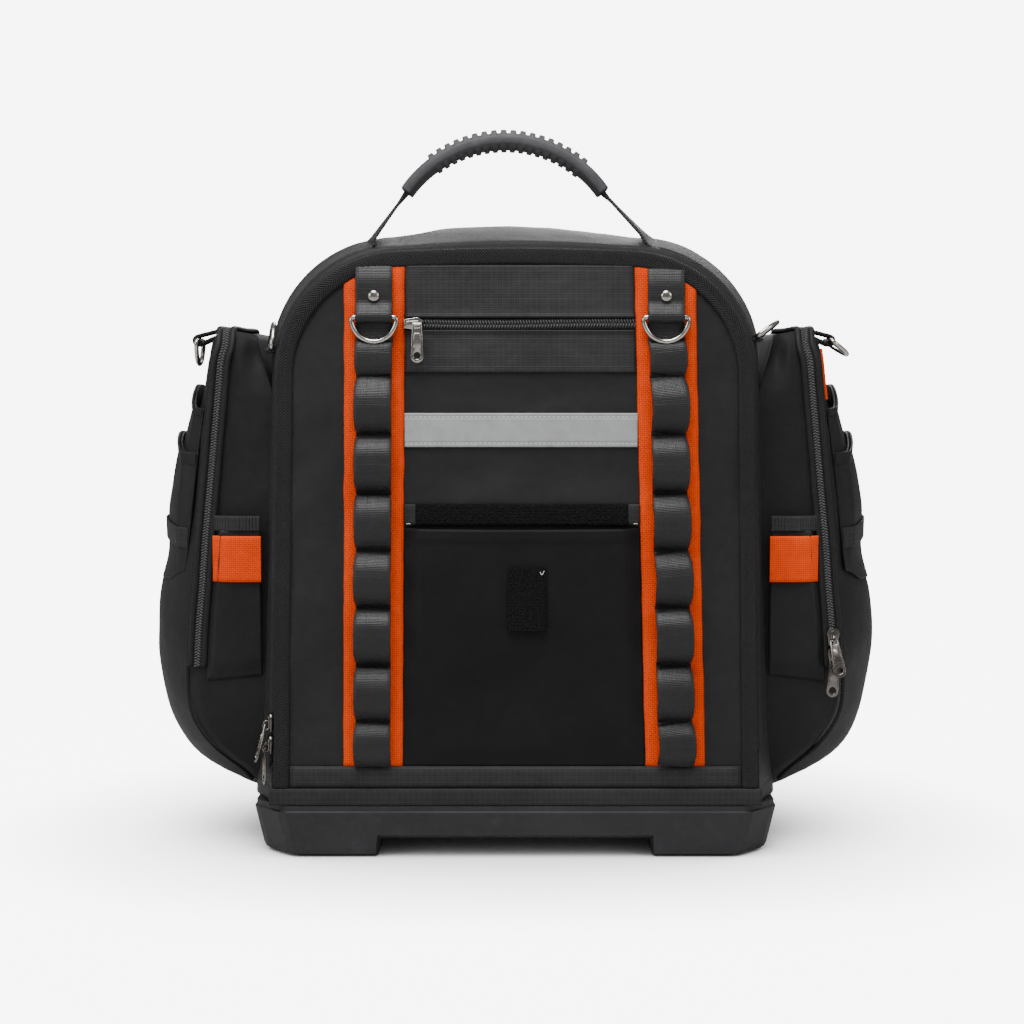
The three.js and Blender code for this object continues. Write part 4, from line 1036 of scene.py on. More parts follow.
@dataclass(frozen=True)
class Outline:
    """The bag's arch seen from the front: straight flanks, round shoulders and a crowned top."""

    half: float
    shoulder: float
    top: float
    crown: float
    radius: float

    TOP_END = 0.165
    ARC_END = 0.412

    def towards(self, other: Outline, share: float) -> Outline:
        """The arch at a share of the way to another."""
        names = ("half", "shoulder", "top", "crown", "radius")
        return Outline(*(mix(getattr(self, n), getattr(other, n), share) for n in names))

    def point(self, t: float, grow: float, bottom: float, foot: float) -> Pair:
        """A point of the arch.

        Args:
            t: From -1 at the lower left through 0 at the crown to 1 at the lower right.
            grow: How far outside the arch.
            bottom: The height of its lower ends.
            foot: The height at which half is measured.

        Returns:
            The point's x and z.
        """
        side = math.copysign(1.0, t)
        run = abs(t)
        centre_x, centre_z = self.shoulder - self.radius, self.top - self.radius
        if run <= self.TOP_END:
            share = run / self.TOP_END
            return side * centre_x * share, self.top + grow + self.crown * (1 - share * share) ** 1.2
        if run <= self.ARC_END:
            angle = math.pi / 2 * (1 - (run - self.TOP_END) / (self.ARC_END - self.TOP_END))
            reach = self.radius + grow
            return side * (centre_x + reach * math.cos(angle)), centre_z + reach * math.sin(angle)
        z = mix(centre_z, bottom, (run - self.ARC_END) / (1 - self.ARC_END))
        x = mix(self.half, self.shoulder, (z - foot) / (centre_z - foot)) + grow
        return side * x, z

    def spine(self, z: float) -> Pair:
        """The point of the arch's middle line that a flat face shrinks to at a height."""
        return 0.0, min(z, self.top - self.radius)


@dataclass
class Body:
    """The soft main body: shell, main zip, hem, front panel and its binding."""

    widest: Outline = Outline(189, 174, 440, 9, 85)
    edge: Outline = Outline(171.5, 166, 428, 2, 88)
    front: float = -100.0
    depth: float = 197.0
    bottom: float = 38.3
    sections: Rows = (
        (0.0, 1.0), (0.03, 1.0), (0.072, 0.8), (0.14, 0.47), (0.22, 0.16), (0.33, 0.04),
        (0.5, 0.0), (0.72, 0.06), (0.87, 0.3), (0.96, 0.72), (1.0, 1.1),
    )
    zip_front: float = -94.9
    zip_back: float = -85.8
    zip_ends: Pair = (66.0, 78.0)
    panel_bottom: float = 50.8
    binding_width: float = 11.0

    def arch(self, y: float) -> Outline:
        """The arch at a depth."""
        roll = smooth_rows(self.sections, (y - self.front) / self.depth)[0]
        return self.widest.towards(self.edge, roll)

    def place(self, t: float, y: float, grow: float = 0.0, bottom: float | None = None) -> Vector:
        """A point on the body's surface, grown outwards."""
        x, z = self.arch(y).point(t, grow, self.bottom if bottom is None else bottom, self.bottom)
        return Vector((x, y, z))

    def half_at(self, y: float, z: float) -> float:
        """The body's half width at a depth and height.

        Args:
            y: The depth.
            z: The height.

        Returns:
            The half width.
        """
        arch = self.arch(y)
        centre_z = arch.top - arch.radius
        if z <= centre_z:
            return mix(arch.half, arch.shoulder, (z - self.bottom) / (centre_z - self.bottom))
        rise = min(z - centre_z, arch.radius)
        return arch.shoulder - arch.radius + math.sqrt(max(arch.radius ** 2 - rise ** 2, 0.0))

    def t_at(self, side: int, z: float, y: float) -> float:
        """The share along the arch of a height on the flank.

        Args:
            side: -1 for the left and 1 for the right.
            z: The height.
            y: The depth.

        Returns:
            The share, as the arch takes it.
        """
        centre_z = self.arch(y).top - self.arch(y).radius
        run = (centre_z - z) / (centre_z - self.bottom)
        return side * mix(Outline.ARC_END, 1.0, run)

    def in_zip_channel(self, t: float, y: float, z: float) -> float:
        """How far the shell drops to carry the main zip: 0 outside it and 1 inside.

        Args:
            t: The share along the arch.
            y: The depth.
            z: The height.

        Returns:
            The share of the full drop.
        """
        end = self.zip_ends[0] if t < 0 else self.zip_ends[1]
        if z < end - 2:
            return 0.0
        return ease((y - self.zip_front + 0.4) / 0.8) * ease((self.zip_back + 0.6 - y) / 0.8)

    def build(self) -> None:
        """Makes the whole body."""
        self.build_shell()
        self.build_main_zip()
        self.build_hem()
        self.build_panel()
        self.build_binding()
        self.build_back_piping()

    def build_back_piping(self) -> None:
        """The piped seam where the flanks meet the back."""
        y = self.front + self.depth * 0.955
        route = self.arch_route(y, 0.6, (self.bottom + 13.0, self.bottom + 13.0), 500)
        deliver(swept("back_edge_piping", route, round_section(1.7, 8)), BINDING)

    def build_shell(self) -> None:
        """The shell behind the front panel, with the channel that the zip lies in."""
        near = [-94.9, -94.4, -94.0, -93.0, -90.0, -87.0, -86.2, -85.6, -85.0, -84.0, -82.0]
        depths = near + [-82.0 + 179.0 * ((i + 1) / 44) for i in range(44)]
        shrink = [0.985, 0.96, 0.9, 0.78, 0.6, 0.4, 0.2, 0.0]
        rows = len(depths) + len(shrink) - 1

        def point(u: float, v: float) -> Vector:
            """Lays the gusset out row by row, then draws the back in to its middle.

            Args:
                u: The share across it or round it.
                v: The share along it or up it.

            Returns:
                The place in millimetres.
            """
            t = 2 * u - 1
            row = round(v * rows)
            y = depths[min(row, len(depths) - 1)]
            flat = self.place(t, y)
            if row < len(depths):
                drop = self.in_zip_channel(t, y, flat.z)
                calm = ease((y + 74) / 30)
                crest = ease((flat.z - 300) / 90)
                fold = ripple(flat, 74, 3.1) * 3.2 + ripple(flat, 31, 8.2) * 1.5
                grow = fold * calm * mix(0.5, 1.0, crest) - 2.6 * drop - 0.5 * calm
                return self.place(t, y, grow)
            keep = shrink[row - len(depths)]
            hub_x, hub_z = self.arch(y).spine(flat.z)
            return Vector((mix(hub_x, flat.x, keep), y, mix(hub_z, flat.z, keep)))

        def cloth(u: float, v: float) -> Pair:
            """The threads run round and back."""
            return (2 * u - 1) * 540.0, v * 330.0

        shell = Grid("body_shell_cloth", 220, rows, point, cloth, turned=True, wall=2.2).build()
        deliver(shell, COATED, "body_shell")

    def arch_route(self, y: float, grow: float, ends: Pair, steps: int, hint: Vector | None = None) -> Route:
        """A route round the arch, from a height on the left flank to one on the right.

        Args:
            y: Its depth.
            grow: How far outside the body.
            ends: The heights of its left and right ends.
            steps: How many steps it is read in.
            hint: The way out of the cloth, or none for straight out of the body.

        Returns:
            The route.
        """
        first, last = self.t_at(-1, ends[0], y), self.t_at(1, ends[1], y)
        points, outs = [], []
        for i in range(97):
            t = mix(first, last, i / 96)
            inner, outer = self.place(t, y, grow), self.place(t, y, grow + 4)
            deeper = self.place(t, y + 3, grow) - self.place(t, y - 3, grow)
            out = outer - inner
            out -= deeper * (out.dot(deeper) / deeper.length_squared)
            points.append(inner)
            outs.append(hint if hint else out.normalized())
        return Route(points, outs, steps)

    def build_main_zip(self) -> None:
        """The main zip's coil and tape, from flank to flank over the top."""
        middle = (self.zip_front + self.zip_back) / 2
        route = self.arch_route(middle, -1.3, self.zip_ends, 1500)
        deliver(zip_run("main_zip_coil", route, 9.0), COIL, "main_zip")

    def hem_route(self, steps: int, z: float, grow: float) -> Route:
        """The line round the body's foot, seen from above.

        Args:
            steps: How many steps it is read in.
            z: Its height.
            grow: How far outside the body.

        Returns:
            The closed route.
        """
        depths = [
            self.front + self.depth * s
            for s in (0.0, 0.03, 0.07, 0.12, 0.2, 0.32, 0.5, 0.7, 0.86, 0.95, 1.0)
        ]
        flank = [Vector((self.half_at(y, z) + grow, y, z)) for y in depths]
        flank[0].y -= grow
        flank[-1].y += grow
        left = [Vector((-p.x, p.y, z)) for p in reversed(flank)]
        shares = (0.02, 0.25, 0.5, 0.75, 0.98)
        first, last = flank[0], flank[-1]
        front = [Vector((mix(-first.x, first.x, s), first.y, z)) for s in shares]
        back = [Vector((mix(last.x, -last.x, s), last.y, z)) for s in shares]
        points = front + flank + back + left
        outs = []
        for p in points:
            on_end = abs(p.y - first.y) < 0.5 or abs(p.y - last.y) < 0.5
            out = Vector((0.0, p.y, 0.0)) if on_end else Vector((p.x, p.y * 0.4, 0.0))
            outs.append(out.normalized())
        return Route(points, outs, steps, closed=True)

    def build_hem(self) -> None:
        """The hem round the foot of the body."""
        route = self.hem_route(360, self.bottom + 6.1, 1.3)
        deliver(swept("base_hem_band", route, flat_section(12.2, 1.8, 8, 0.3)), BAND, "base_hem")

    def panel_point(self, u: float, v: float, grow: float, y: float, bottom: float) -> Vector:
        """A point of a flat face inside the front arch, v running from its rim to its middle.

        Args:
            u: The share across it or round it.
            v: The share from its rim to its middle.
            grow: How far outside the arch its rim is.
            y: Its depth.
            bottom: The height of its lower edge.

        Returns:
            The place in millimetres.
        """
        x, z = self.edge.point(2 * u - 1, grow, bottom, self.bottom)
        hub_x, hub_z = self.edge.spine(z)
        return Vector((mix(x, hub_x, v), y, mix(z, hub_z, v)))

    def build_panel(self) -> None:
        """The front panel, taut between its bindings."""

        def point(u: float, v: float) -> Vector:
            """Lays the panel out, with folds beside the tapes and slack between the trims.

            Args:
                u: The share across it or round it.
                v: The share along it or up it.

            Returns:
                The place in millimetres.
            """
            flat = self.panel_point(u, v, -2.5, self.front, self.bottom)
            flank = ease((abs(flat.x) - 124) / 14) * ease((flat.z - 70) / 25) * ease(v * 14)
            fold = ripple(flat, 62, 1.7) * 2.0 + ripple(flat, 23, 5.5) * 0.7
            slack = max(ease(1 - abs(flat.z - 272) / 22), ease(1 - abs(flat.z - 330) / 14))
            middle = slack * ease((76 - abs(flat.x - 5)) / 20)
            flat.y -= flank * (fold + 0.5) - 0.3
            flat.y += middle * (1.1 + ripple(flat, 38, 7.7) * 1.8)
            return flat

        def cloth(u: float, v: float) -> Pair:
            """The threads run across and up."""
            flat = self.panel_point(u, v, -2.5, self.front, self.bottom)
            return flat.x, flat.z

        panel = Grid("front_panel_cloth", 170, 44, point, cloth, turned=True, wall=2.6).build()
        deliver(panel, COATED, "front_panel")

    def build_binding(self) -> None:
        """The twill binding folded over the panel's edge."""
        section = [
            (-self.binding_width, 0.5), (-self.binding_width + 0.4, 1.5),
            (-9.0, 1.9), (-6.0, 2.1), (-3.0, 2.2), (-1.2, 2.1), (-0.3, 1.5), (0.2, 0.4), (0.3, -1.5),
            (0.3, -4.0), (-0.3, -5.6), (-2.4, -6.0),
            (-2.6, -4.4), (-1.4, -3.2), (-1.2, -0.2), (-2.6, 0.5), (-6.0, 0.5),
        ]
        sides, steps = len(section), 520

        def point(u: float, v: float) -> Vector:
            """Lays the binding's section round the arch.

            Args:
                u: The share across it or round it.
                v: The share along it or up it.

            Returns:
                The place in millimetres.
            """
            grow, out = section[round(u * sides) % sides]
            x, z = self.edge.point(2 * v - 1, grow, self.panel_bottom, self.bottom)
            pucker = 0.12 * math.sin(v * 1500) if out > 1.0 else 0.0
            return Vector((x, self.front - out - pucker, z))

        def cloth(u: float, v: float) -> Pair:
            """The ribs run along the binding."""
            grow, out = section[round(u * sides) % sides]
            return grow + self.binding_width / 2 if out > 0 else out * 1.5 - 6.0, v * 1080.0

        made = Grid("front_binding_twill", sides, steps, point, cloth, ring=True, capped=True).build()
        deliver(made, BINDING, "front_binding")


def zip_run(name: str, route: Route, width: float, coil: float = 2.4) -> Piece:
    """A closed coil zip: two rows of coils that mesh in the middle of a flat tape.

    Args:
        name: The piece's name.
        route: The line that it follows.
        width: The width of tape that shows.
        coil: How far the coils reach to each side of the middle.

    Returns:
        The zip.
    """
    half = width / 2
    inside = [coil * s for s in (1.0, 0.85, 0.62, 0.4, 0.18)]
    stops = [-half, -coil - 0.2, *[-a for a in inside], 0.0, *inside[::-1], coil + 0.2, half]
    section = stops + [half, 0.0, -half]
    sides, shown = len(section), len(stops)

    def tooth(across: float, length: float) -> float:
        """How far a tooth stands up.

        Args:
            across: Its place across the zip.
            length: Its place along the zip.

        Returns:
            The height in millimetres.
        """
        dome = max(0.0, 1 - ((abs(across) - coil / 2) / (coil / 2)) ** 2)
        row = 0.5 if across > 0 else 0.0
        phase = length / COIL.pitch + row + abs(across) * COIL.half / coil * COIL.lean
        return dome * (0.45 + 0.75 * abs(math.sin(math.pi * phase)))

    def point(u: float, v: float) -> Vector:
        """Lays the tape out with its teeth.

        Args:
            u: The share across it or round it.
            v: The share along it or up it.

        Returns:
            The place in millimetres.
        """
        index = round(u * sides) % sides
        across = section[index]
        out = tooth(across, v * route.length) if index < shown else -1.2
        return route.place(round(v * route.steps), across, out)

    def cloth(u: float, v: float) -> Pair:
        """The teeth follow one another along the zip."""
        return section[round(u * sides) % sides] * COIL.half / coil, v * route.length

    return Grid(name, sides, route.steps, point, cloth, ring=True, capped=True).build()


# Front of the panel


@dataclass(frozen=True)
class Tape:
    """One column of orange tape, tool loops and D-ring."""

    side: Side
    top_x: float
    bottom_x: float

    def x_at(self, z: float) -> float:
        """The tape's middle at a height."""
        return mix(self.bottom_x, self.top_x, (z - 66.8) / (428 - 66.8))


@dataclass
class Front:
    """The trims, tool loops and pockets sewn on the front panel."""

    body: Body
    tapes: tuple[Tape, Tape] = (Tape(Side.LEFT, -97.6, -100.7), Tape(Side.RIGHT, 103.0, 113.0))
    tape_width: float = 42.0
    seat: float = -100.3
    bottom: float = 66.8
    loop_width: float = 26.0
    loop_cloth: float = 1.5
    pitch: float = 40.4
    lowest_crease: float = 99.0
    bulge: float = 10.4
    sway: dict[Side, float] = field(default_factory=lambda: {Side.LEFT: -0.4, Side.RIGHT: 1.2})
    pinch: dict[Side, float] = field(default_factory=lambda: {Side.LEFT: 0.05, Side.RIGHT: 0.07})
    ring_bar_z: float = 382.4
    tab_round: float = 3.83

    def build(self) -> None:
        """Makes everything on the panel."""
        self.build_hem_strip()
        for tape in self.tapes:
            self.build_tape(tape)
            self.build_loops(tape)
            self.build_tab(tape)
            self.build_rivet(tape)
        self.build_bands()
        self.build_front_zip()
        self.build_slip_pocket()
        self.build_hook_tape()

    def top_limit(self, x: float) -> float:
        """The height at which the binding covers the panel.

        Args:
            x: How far from the middle.

        Returns:
            The height.
        """
        arch = self.body.edge
        centre_x, centre_z, reach = arch.shoulder - arch.radius, arch.top - arch.radius, arch.radius - 9.5
        if abs(x) <= centre_x:
            return centre_z + reach
        return centre_z + math.sqrt(max(reach ** 2 - (abs(x) - centre_x) ** 2, 0.0))

    def trim(
        self, name: str, left: Callable[[float], float], right: Callable[[float], float], low: float,
        high: float | None, thick: float, columns: int = 12, rows: int = 24, pucker: float = 0.0,
        lips: Pair = (0.0, 0.0),
    ) -> Piece:
        """A flat band on the panel.

        Args:
            name: The piece's name.
            left: Its left edge at a height.
            right: Its right edge at a height.
            low: Its lower edge.
            high: Its upper edge, or none where it runs up under the binding.
            thick: How far its face stands off the panel.
            columns: Steps across it.
            rows: Steps up it.
            pucker: How deep the cloth puckers between stitches.
            lips: How far its lower and upper edges stand up, where they are folded.

        Returns:
            The band.
        """

        def flat(u: float, v: float) -> Vector:
            """The place on the flat panel.

            Args:
                u: The share across it or round it.
                v: The share along it or up it.

            Returns:
                The place in millimetres.
            """
            guess = mix(low, high or 414.0, v)
            x = mix(left(guess), right(guess), u)
            top = high or self.top_limit(x)
            z = mix(low, top, v)
            return Vector((mix(left(z), right(z), u), self.seat, z))

        def point(u: float, v: float) -> Vector:
            """Lifts the place by its thickness, lips and puckers.

            Args:
                u: The share across it or round it.
                v: The share along it or up it.

            Returns:
                The place in millimetres.
            """
            place = flat(u, v)
            rim = min(u, 1 - u, v, 1 - v)
            edge = ease(rim * 60) * 0.5 + 0.5
            rise = lips[0] * ease(1 - v * 9) + lips[1] * ease(1 - (1 - v) * 9)
            place.y -= thick * edge + rise + pucker * ripple(place, 9.0, 2.0) * ease(rim * 8)
            return place

        def cloth(u: float, v: float) -> Pair:
            """The threads run up from the middle of the band.

            Args:
                u: The share across it or round it.
                v: The share along it or up it.

            Returns:
                How far across and along its threads the place is.
            """
            place = flat(u, v)
            width = right(place.z) - left(place.z)
            return (u - 0.5) * width, place.z

        return Grid(name, columns, rows, point, cloth, wall=thick * 0.8).build()

    def build_hem_strip(self) -> None:
        """The band along the panel's lower edge."""
        inner = self.body.binding_width + 0.3
        half = self.body.half_at(-100.0, 58.0) - inner
        strip = self.trim("hem_strip_band", lambda z: -half, lambda z: half, 51.0, 66.4, 1.5, 60, 6, 0.2)
        deliver(strip, BAND, "hem_strip")

    def build_tape(self, tape: Tape) -> None:
        """The orange tape behind a column of loops.

        Args:
            tape: The column.
        """
        half = self.tape_width / 2
        name = f"orange_tape_{tape.side.label}"

        def left(z: float) -> float:
            """The tape's left edge, drawn in a little by each crease."""
            return tape.x_at(z) - half + 0.6 * ripple(Z * z, 17.0, tape.side.value)

        def right(z: float) -> float:
            """The tape's right edge, drawn in a little by each crease."""
            return tape.x_at(z) + half + 0.6 * ripple(Z * z, 17.0, tape.side.value + 4)

        made = self.trim(f"{name}_web", left, right, self.bottom, None, 1.5, 12, 160, 0.35)
        deliver(made, ORANGE, name)

    def build_loops(self, tape: Tape) -> None:
        """One column of tool loops, bowed out from crease to crease.

        Args:
            tape: The column.
        """
        seat = self.seat - 1.5 - 0.3 - self.loop_cloth / 2
        crease = [self.lowest_crease + k * self.pitch for k in range(7)]
        spans = [(crease[6] + 26.0, crease[6], 4.6)]
        spans += [(crease[k], crease[k - 1], self.bulge) for k in range(6, 0, -1)]
        spans += [(crease[0], self.bottom + 0.6, 7.5)]
        top = self.ring_bar_z - 1.5
        points = [Vector((tape.x_at(top), seat, top))]
        for index, (high, low, bulge) in enumerate(spans):
            lean = 0.06 * math.sin(index * 2.3 + tape.top_x)
            for i in range(12):
                share = i / 12
                droop = share + (0.07 + lean * 0.5) * math.sin(2 * math.pi * share)
                reach = bulge * (1 + lean) * max(math.sin(math.pi * droop), 0.0) ** 0.9
                z = mix(high, low, share)
                sway = self.sway[tape.side] * math.sin(math.pi * share) * (1 + 0.5 * math.sin(index * 1.9))
                points.append(Vector((tape.x_at(z) + sway, seat - reach, z)))
        low = self.bottom + 0.4
        points.append(Vector((tape.x_at(low), seat, low)))
        outs = []
        for before, after in zip(points[:1] + points, points[1:] + points[-1:]):
            outs.append((-X).cross(after - before).normalized())
        route = Route(points, outs, 620)

        def pinch(v: float) -> Pair:
            """Draws the webbing in at each crease.

            Args:
                v: The share along it or up it.

            Returns:
                Scales of its width and thickness.
            """
            z = route.at[round(v * route.steps)].z
            near = min(abs(z - c) for c in crease)
            return 1.0 - self.pinch[tape.side] * (1 - ease(near / 9.0)), 1.0

        def curl(across: float, length: float) -> float:
            """Bends its edges back a little."""
            return -0.5 * (abs(across) / 13.0) ** 4

        section = flat_section(self.loop_width, self.loop_cloth, 10)
        name = f"tool_loops_{tape.side.label}"
        deliver(swept(f"{name}_web", route, section, pinch, curl), LOOP_BAND, name)
        bars = []
        for index, z in enumerate(crease):
            bars.append(self.bar_tack(f"{name}_tack_{index}", tape.x_at(z), seat - 0.85, z))
        deliver(joined(f"{name}_tacks", bars), BINDING)

    def bar_tack(self, name: str, x: float, y: float, z: float) -> Piece:
        """A bar of close stitches across a crease.

        Args:
            name: The bar's name.
            x: The middle of the webbing.
            y: How deep it lies.
            z: The crease's height.

        Returns:
            The bar.
        """
        points = [Vector((x + s * 12.2, y - 0.05 * (s % 2), z)) for s in (-1, -0.5, 0, 0.5, 1)]
        return swept(
            name, Route(points, [-Y] * 5, 48), round_section(0.55, 6), None,
            lambda a, s: 0.16 * math.sin(s * 5.2),
        )

    def build_tab(self, tape: Tape) -> None:
        """The tab folded round the D-ring's bar, and its run up under the binding.

        Args:
            tape: The column.
        """
        x = tape.x_at(self.ring_bar_z)
        pivot = Vector((x, self.seat - 1.8 - self.tab_round, self.ring_bar_z))
        top = self.top_limit(x)
        cloth = 1.6
        near, radius = self.tab_round - 1.5 * cloth, self.tab_round - cloth / 2
        line = [(near + 3.4, top + 1.5), (near + 1.2, top - 3.5), (near, top - 9)]
        line += [(near, 398), (near, 392), (-1.2, 387.4), (-radius + 0.3, 384.2)]
        bend = (0.3, 0.8, 1.3, 1.9, 2.4, 2.9)
        profile = [(y, z - self.ring_bar_z) for y, z in line]
        profile += [(-radius * math.cos(a), -radius * math.sin(a)) for a in bend]
        profile += [(radius, 3.0), (radius - 0.1, 8.0), (radius - 0.2, 13.0)]
        points = [pivot + Y * y + Z * z for y, z in profile]
        outs = [-Y] * 7 + [Vector((0, -math.cos(a), -math.sin(a))) for a in bend] + [Y] * 3
        route = Route(points, outs, 150)
        name = f"ring_tab_{tape.side.label}"
        deliver(swept(f"{name}_web", route, flat_section(25.6, cloth, 8)), LOOP_BAND, name)

    def build_rivet(self, tape: Tape) -> None:
        """The domed rivet through the tab.

        Args:
            tape: The column.
        """
        x = tape.x_at(self.ring_bar_z)
        y = self.seat - 1.8 - 2 * 1.6 - 0.2
        place = basis(Vector((x, y, self.ring_bar_z + 14.5)), X, Z, -Y)
        profile = [
            (0, -0.4), (4.0, -0.4), (4.1, 0.1), (3.9, 0.6), (3.4, 1.1), (2.6, 1.5), (1.4, 1.8),
            (0, 1.9),
        ]
        name = f"rivet_{tape.side.label}"
        deliver(spun(f"{name}_dome", profile, place), LIGHT_GUNMETAL, name)

    def left_at(self, z: float) -> float:
        """The right edge of the left tape."""
        return self.tapes[0].x_at(z) + self.tape_width / 2 + 0.3

    def right_at(self, z: float) -> float:
        """The left edge of the right tape."""
        return self.tapes[1].x_at(z) - self.tape_width / 2 - 0.3

    def between_tapes(self, z: float, share: float, inset: float = 0.0) -> float:
        """The x at a share of the way from one tape to the other."""
        return mix(self.left_at(z) + inset, self.right_at(z) - inset, share)

    def build_bands(self) -> None:
        """The bands above and below the front zip and the reflective strip."""
        upper = self.trim(
            "zip_band_upper_web", self.left_at, self.right_at, 382.0, None, 1.5, 60, 40, 0.3,
            (1.2, 0.0),
        )
        deliver(upper, BAND, "zip_band_upper")
        lower = self.trim(
            "zip_band_lower_web", self.left_at, self.right_at, 344.0, 373.6, 1.5, 60, 40, 0.3,
            (0.0, 1.2),
        )
        deliver(lower, BAND, "zip_band_lower")
        shares = (0, 0.25, 0.5, 0.75, 1)
        points = [Vector((self.between_tapes(304, s), self.seat - 0.7, 304.15)) for s in shares]
        route = Route(points, [-Y] * 5, 160)
        strip = swept(
            "reflective_strip_tape", route, flat_section(23.7, 0.8, 12), None,
            lambda a, s: 0.25 * ripple(Vector((s, a, 0)), 21, 4.0),
        )
        deliver(strip, REFLECTIVE, "reflective_strip")

    def build_front_zip(self) -> None:
        """The zip between the two bands."""
        z = 377.8
        wave = ((0.0, 0.3), (0.25, -0.6), (0.5, -0.5), (0.75, 0.3), (1.0, 0.5))
        points = [Vector((self.between_tapes(z, s), self.seat - 0.7, z + up)) for s, up in wave]
        route = Route(points, [-Y] * 5, 520)
        deliver(zip_run("front_zip_coil", route, 9.0, 3.0), COIL, "front_zip")

    def build_slip_pocket(self) -> None:
        """The slip pocket's outer cloth, which gapes a little at its mouth."""
        top = 235.5

        def flat(u: float, v: float) -> Vector:
            """The place on the flat panel."""
            z = mix(self.bottom, top, v)
            return Vector((self.between_tapes(z, u), self.seat, z))

        def point(u: float, v: float) -> Vector:
            """Lifts the cloth, which is free between its seams.

            Args:
                u: The share across it or round it.
                v: The share along it or up it.

            Returns:
                The place in millimetres.
            """
            place = flat(u, v)
            side = ease(min(u, 1 - u) * 13)
            foot = ease(v * 12)
            slack = 5.2 * ease(v * 1.15) + 2.0
            sag = 1.3 * math.sin(math.pi * u) * ease((v - 0.85) / 0.15)
            fold = ripple(place, 58, 6.4) * 1.5 + ripple(place, 21, 2.2) * 0.4
            hem = 0.7 * ease((place.z - top + 8.5) / 0.8)
            place.y -= 0.7 + side * foot * (slack - 0.7 + fold * min(foot, side)) + hem * side
            place.z -= sag * 0.6
            return place

        def cloth(u: float, v: float) -> Pair:
            """The threads run across and up."""
            place = flat(u, v)
            return place.x, place.z

        made = Grid("slip_pocket_cloth", 110, 90, point, cloth, wall=1.3).build()
        deliver(made, SLIP_CLOTH, "slip_pocket")

    def build_hook_tape(self) -> None:
        """The loop tape above the slip pocket's mouth and the patch on its face."""
        shares = (0, 0.3, 0.7, 1)
        points = [Vector((self.between_tapes(245, s, 8), self.seat - 1.0, 245.0)) for s in shares]
        strip = swept(
            "hook_strip_tape", Route(points, [-Y] * 4, 200), flat_section(15.1, 1.5, 10), None,
            lambda a, s: 0.35 * ripple(Vector((s, a, 0)), 2.6, 9.0),
        )
        deliver(strip, LOOP_TAPE, "hook_strip")
        ends = []
        for index, x in enumerate((self.left_at(245) + 4.0, self.right_at(245) - 4.0)):
            short = [Vector((x + s * 3.9, self.seat - 0.9, 245.0)) for s in (-1, 0, 1)]
            ends.append(swept(f"end_{index}", Route(short, [-Y] * 3, 12), flat_section(14.6, 1.4, 8)))
        deliver(joined("hook_strip_ends", ends), BAND)
        patch = [Vector((8.0, -108.9, z)) for z in (163.5, 178, 193, 208.5)]
        made = swept(
            "hook_patch_tape", Route(patch, [-Y] * 4, 70), flat_section(26.5, 1.3, 14), None,
            lambda a, s: 0.22 * abs(math.sin(a * 1.35)),
        )
        deliver(made, LOOP_TAPE, "hook_patch")
        tick = [Vector((17.2, -109.8, 205.6)), Vector((18.4, -110.1, 203.6)), Vector((20.0, -109.9, 206.4))]
        parts = [swept("thread_patch", Route(tick, [-Y] * 3, 14), round_section(0.32, 6))]
        z = 238.5
        for name, x in (("slip_left", self.left_at(238) + 3), ("slip_right", self.right_at(238) - 3)):
            short = [
                Vector((x + s * 1.3, -102.3 - 0.3 * (1 - abs(s)), z + 0.3 * (1 - abs(s))))
                for s in (-1, 0, 1)
            ]
            parts.append(swept(f"thread_{name}", Route(short, [-Y] * 3, 8), round_section(0.4, 6)))
        deliver(joined("white_thread_ends", parts), WHITE_THREAD)


# Metal


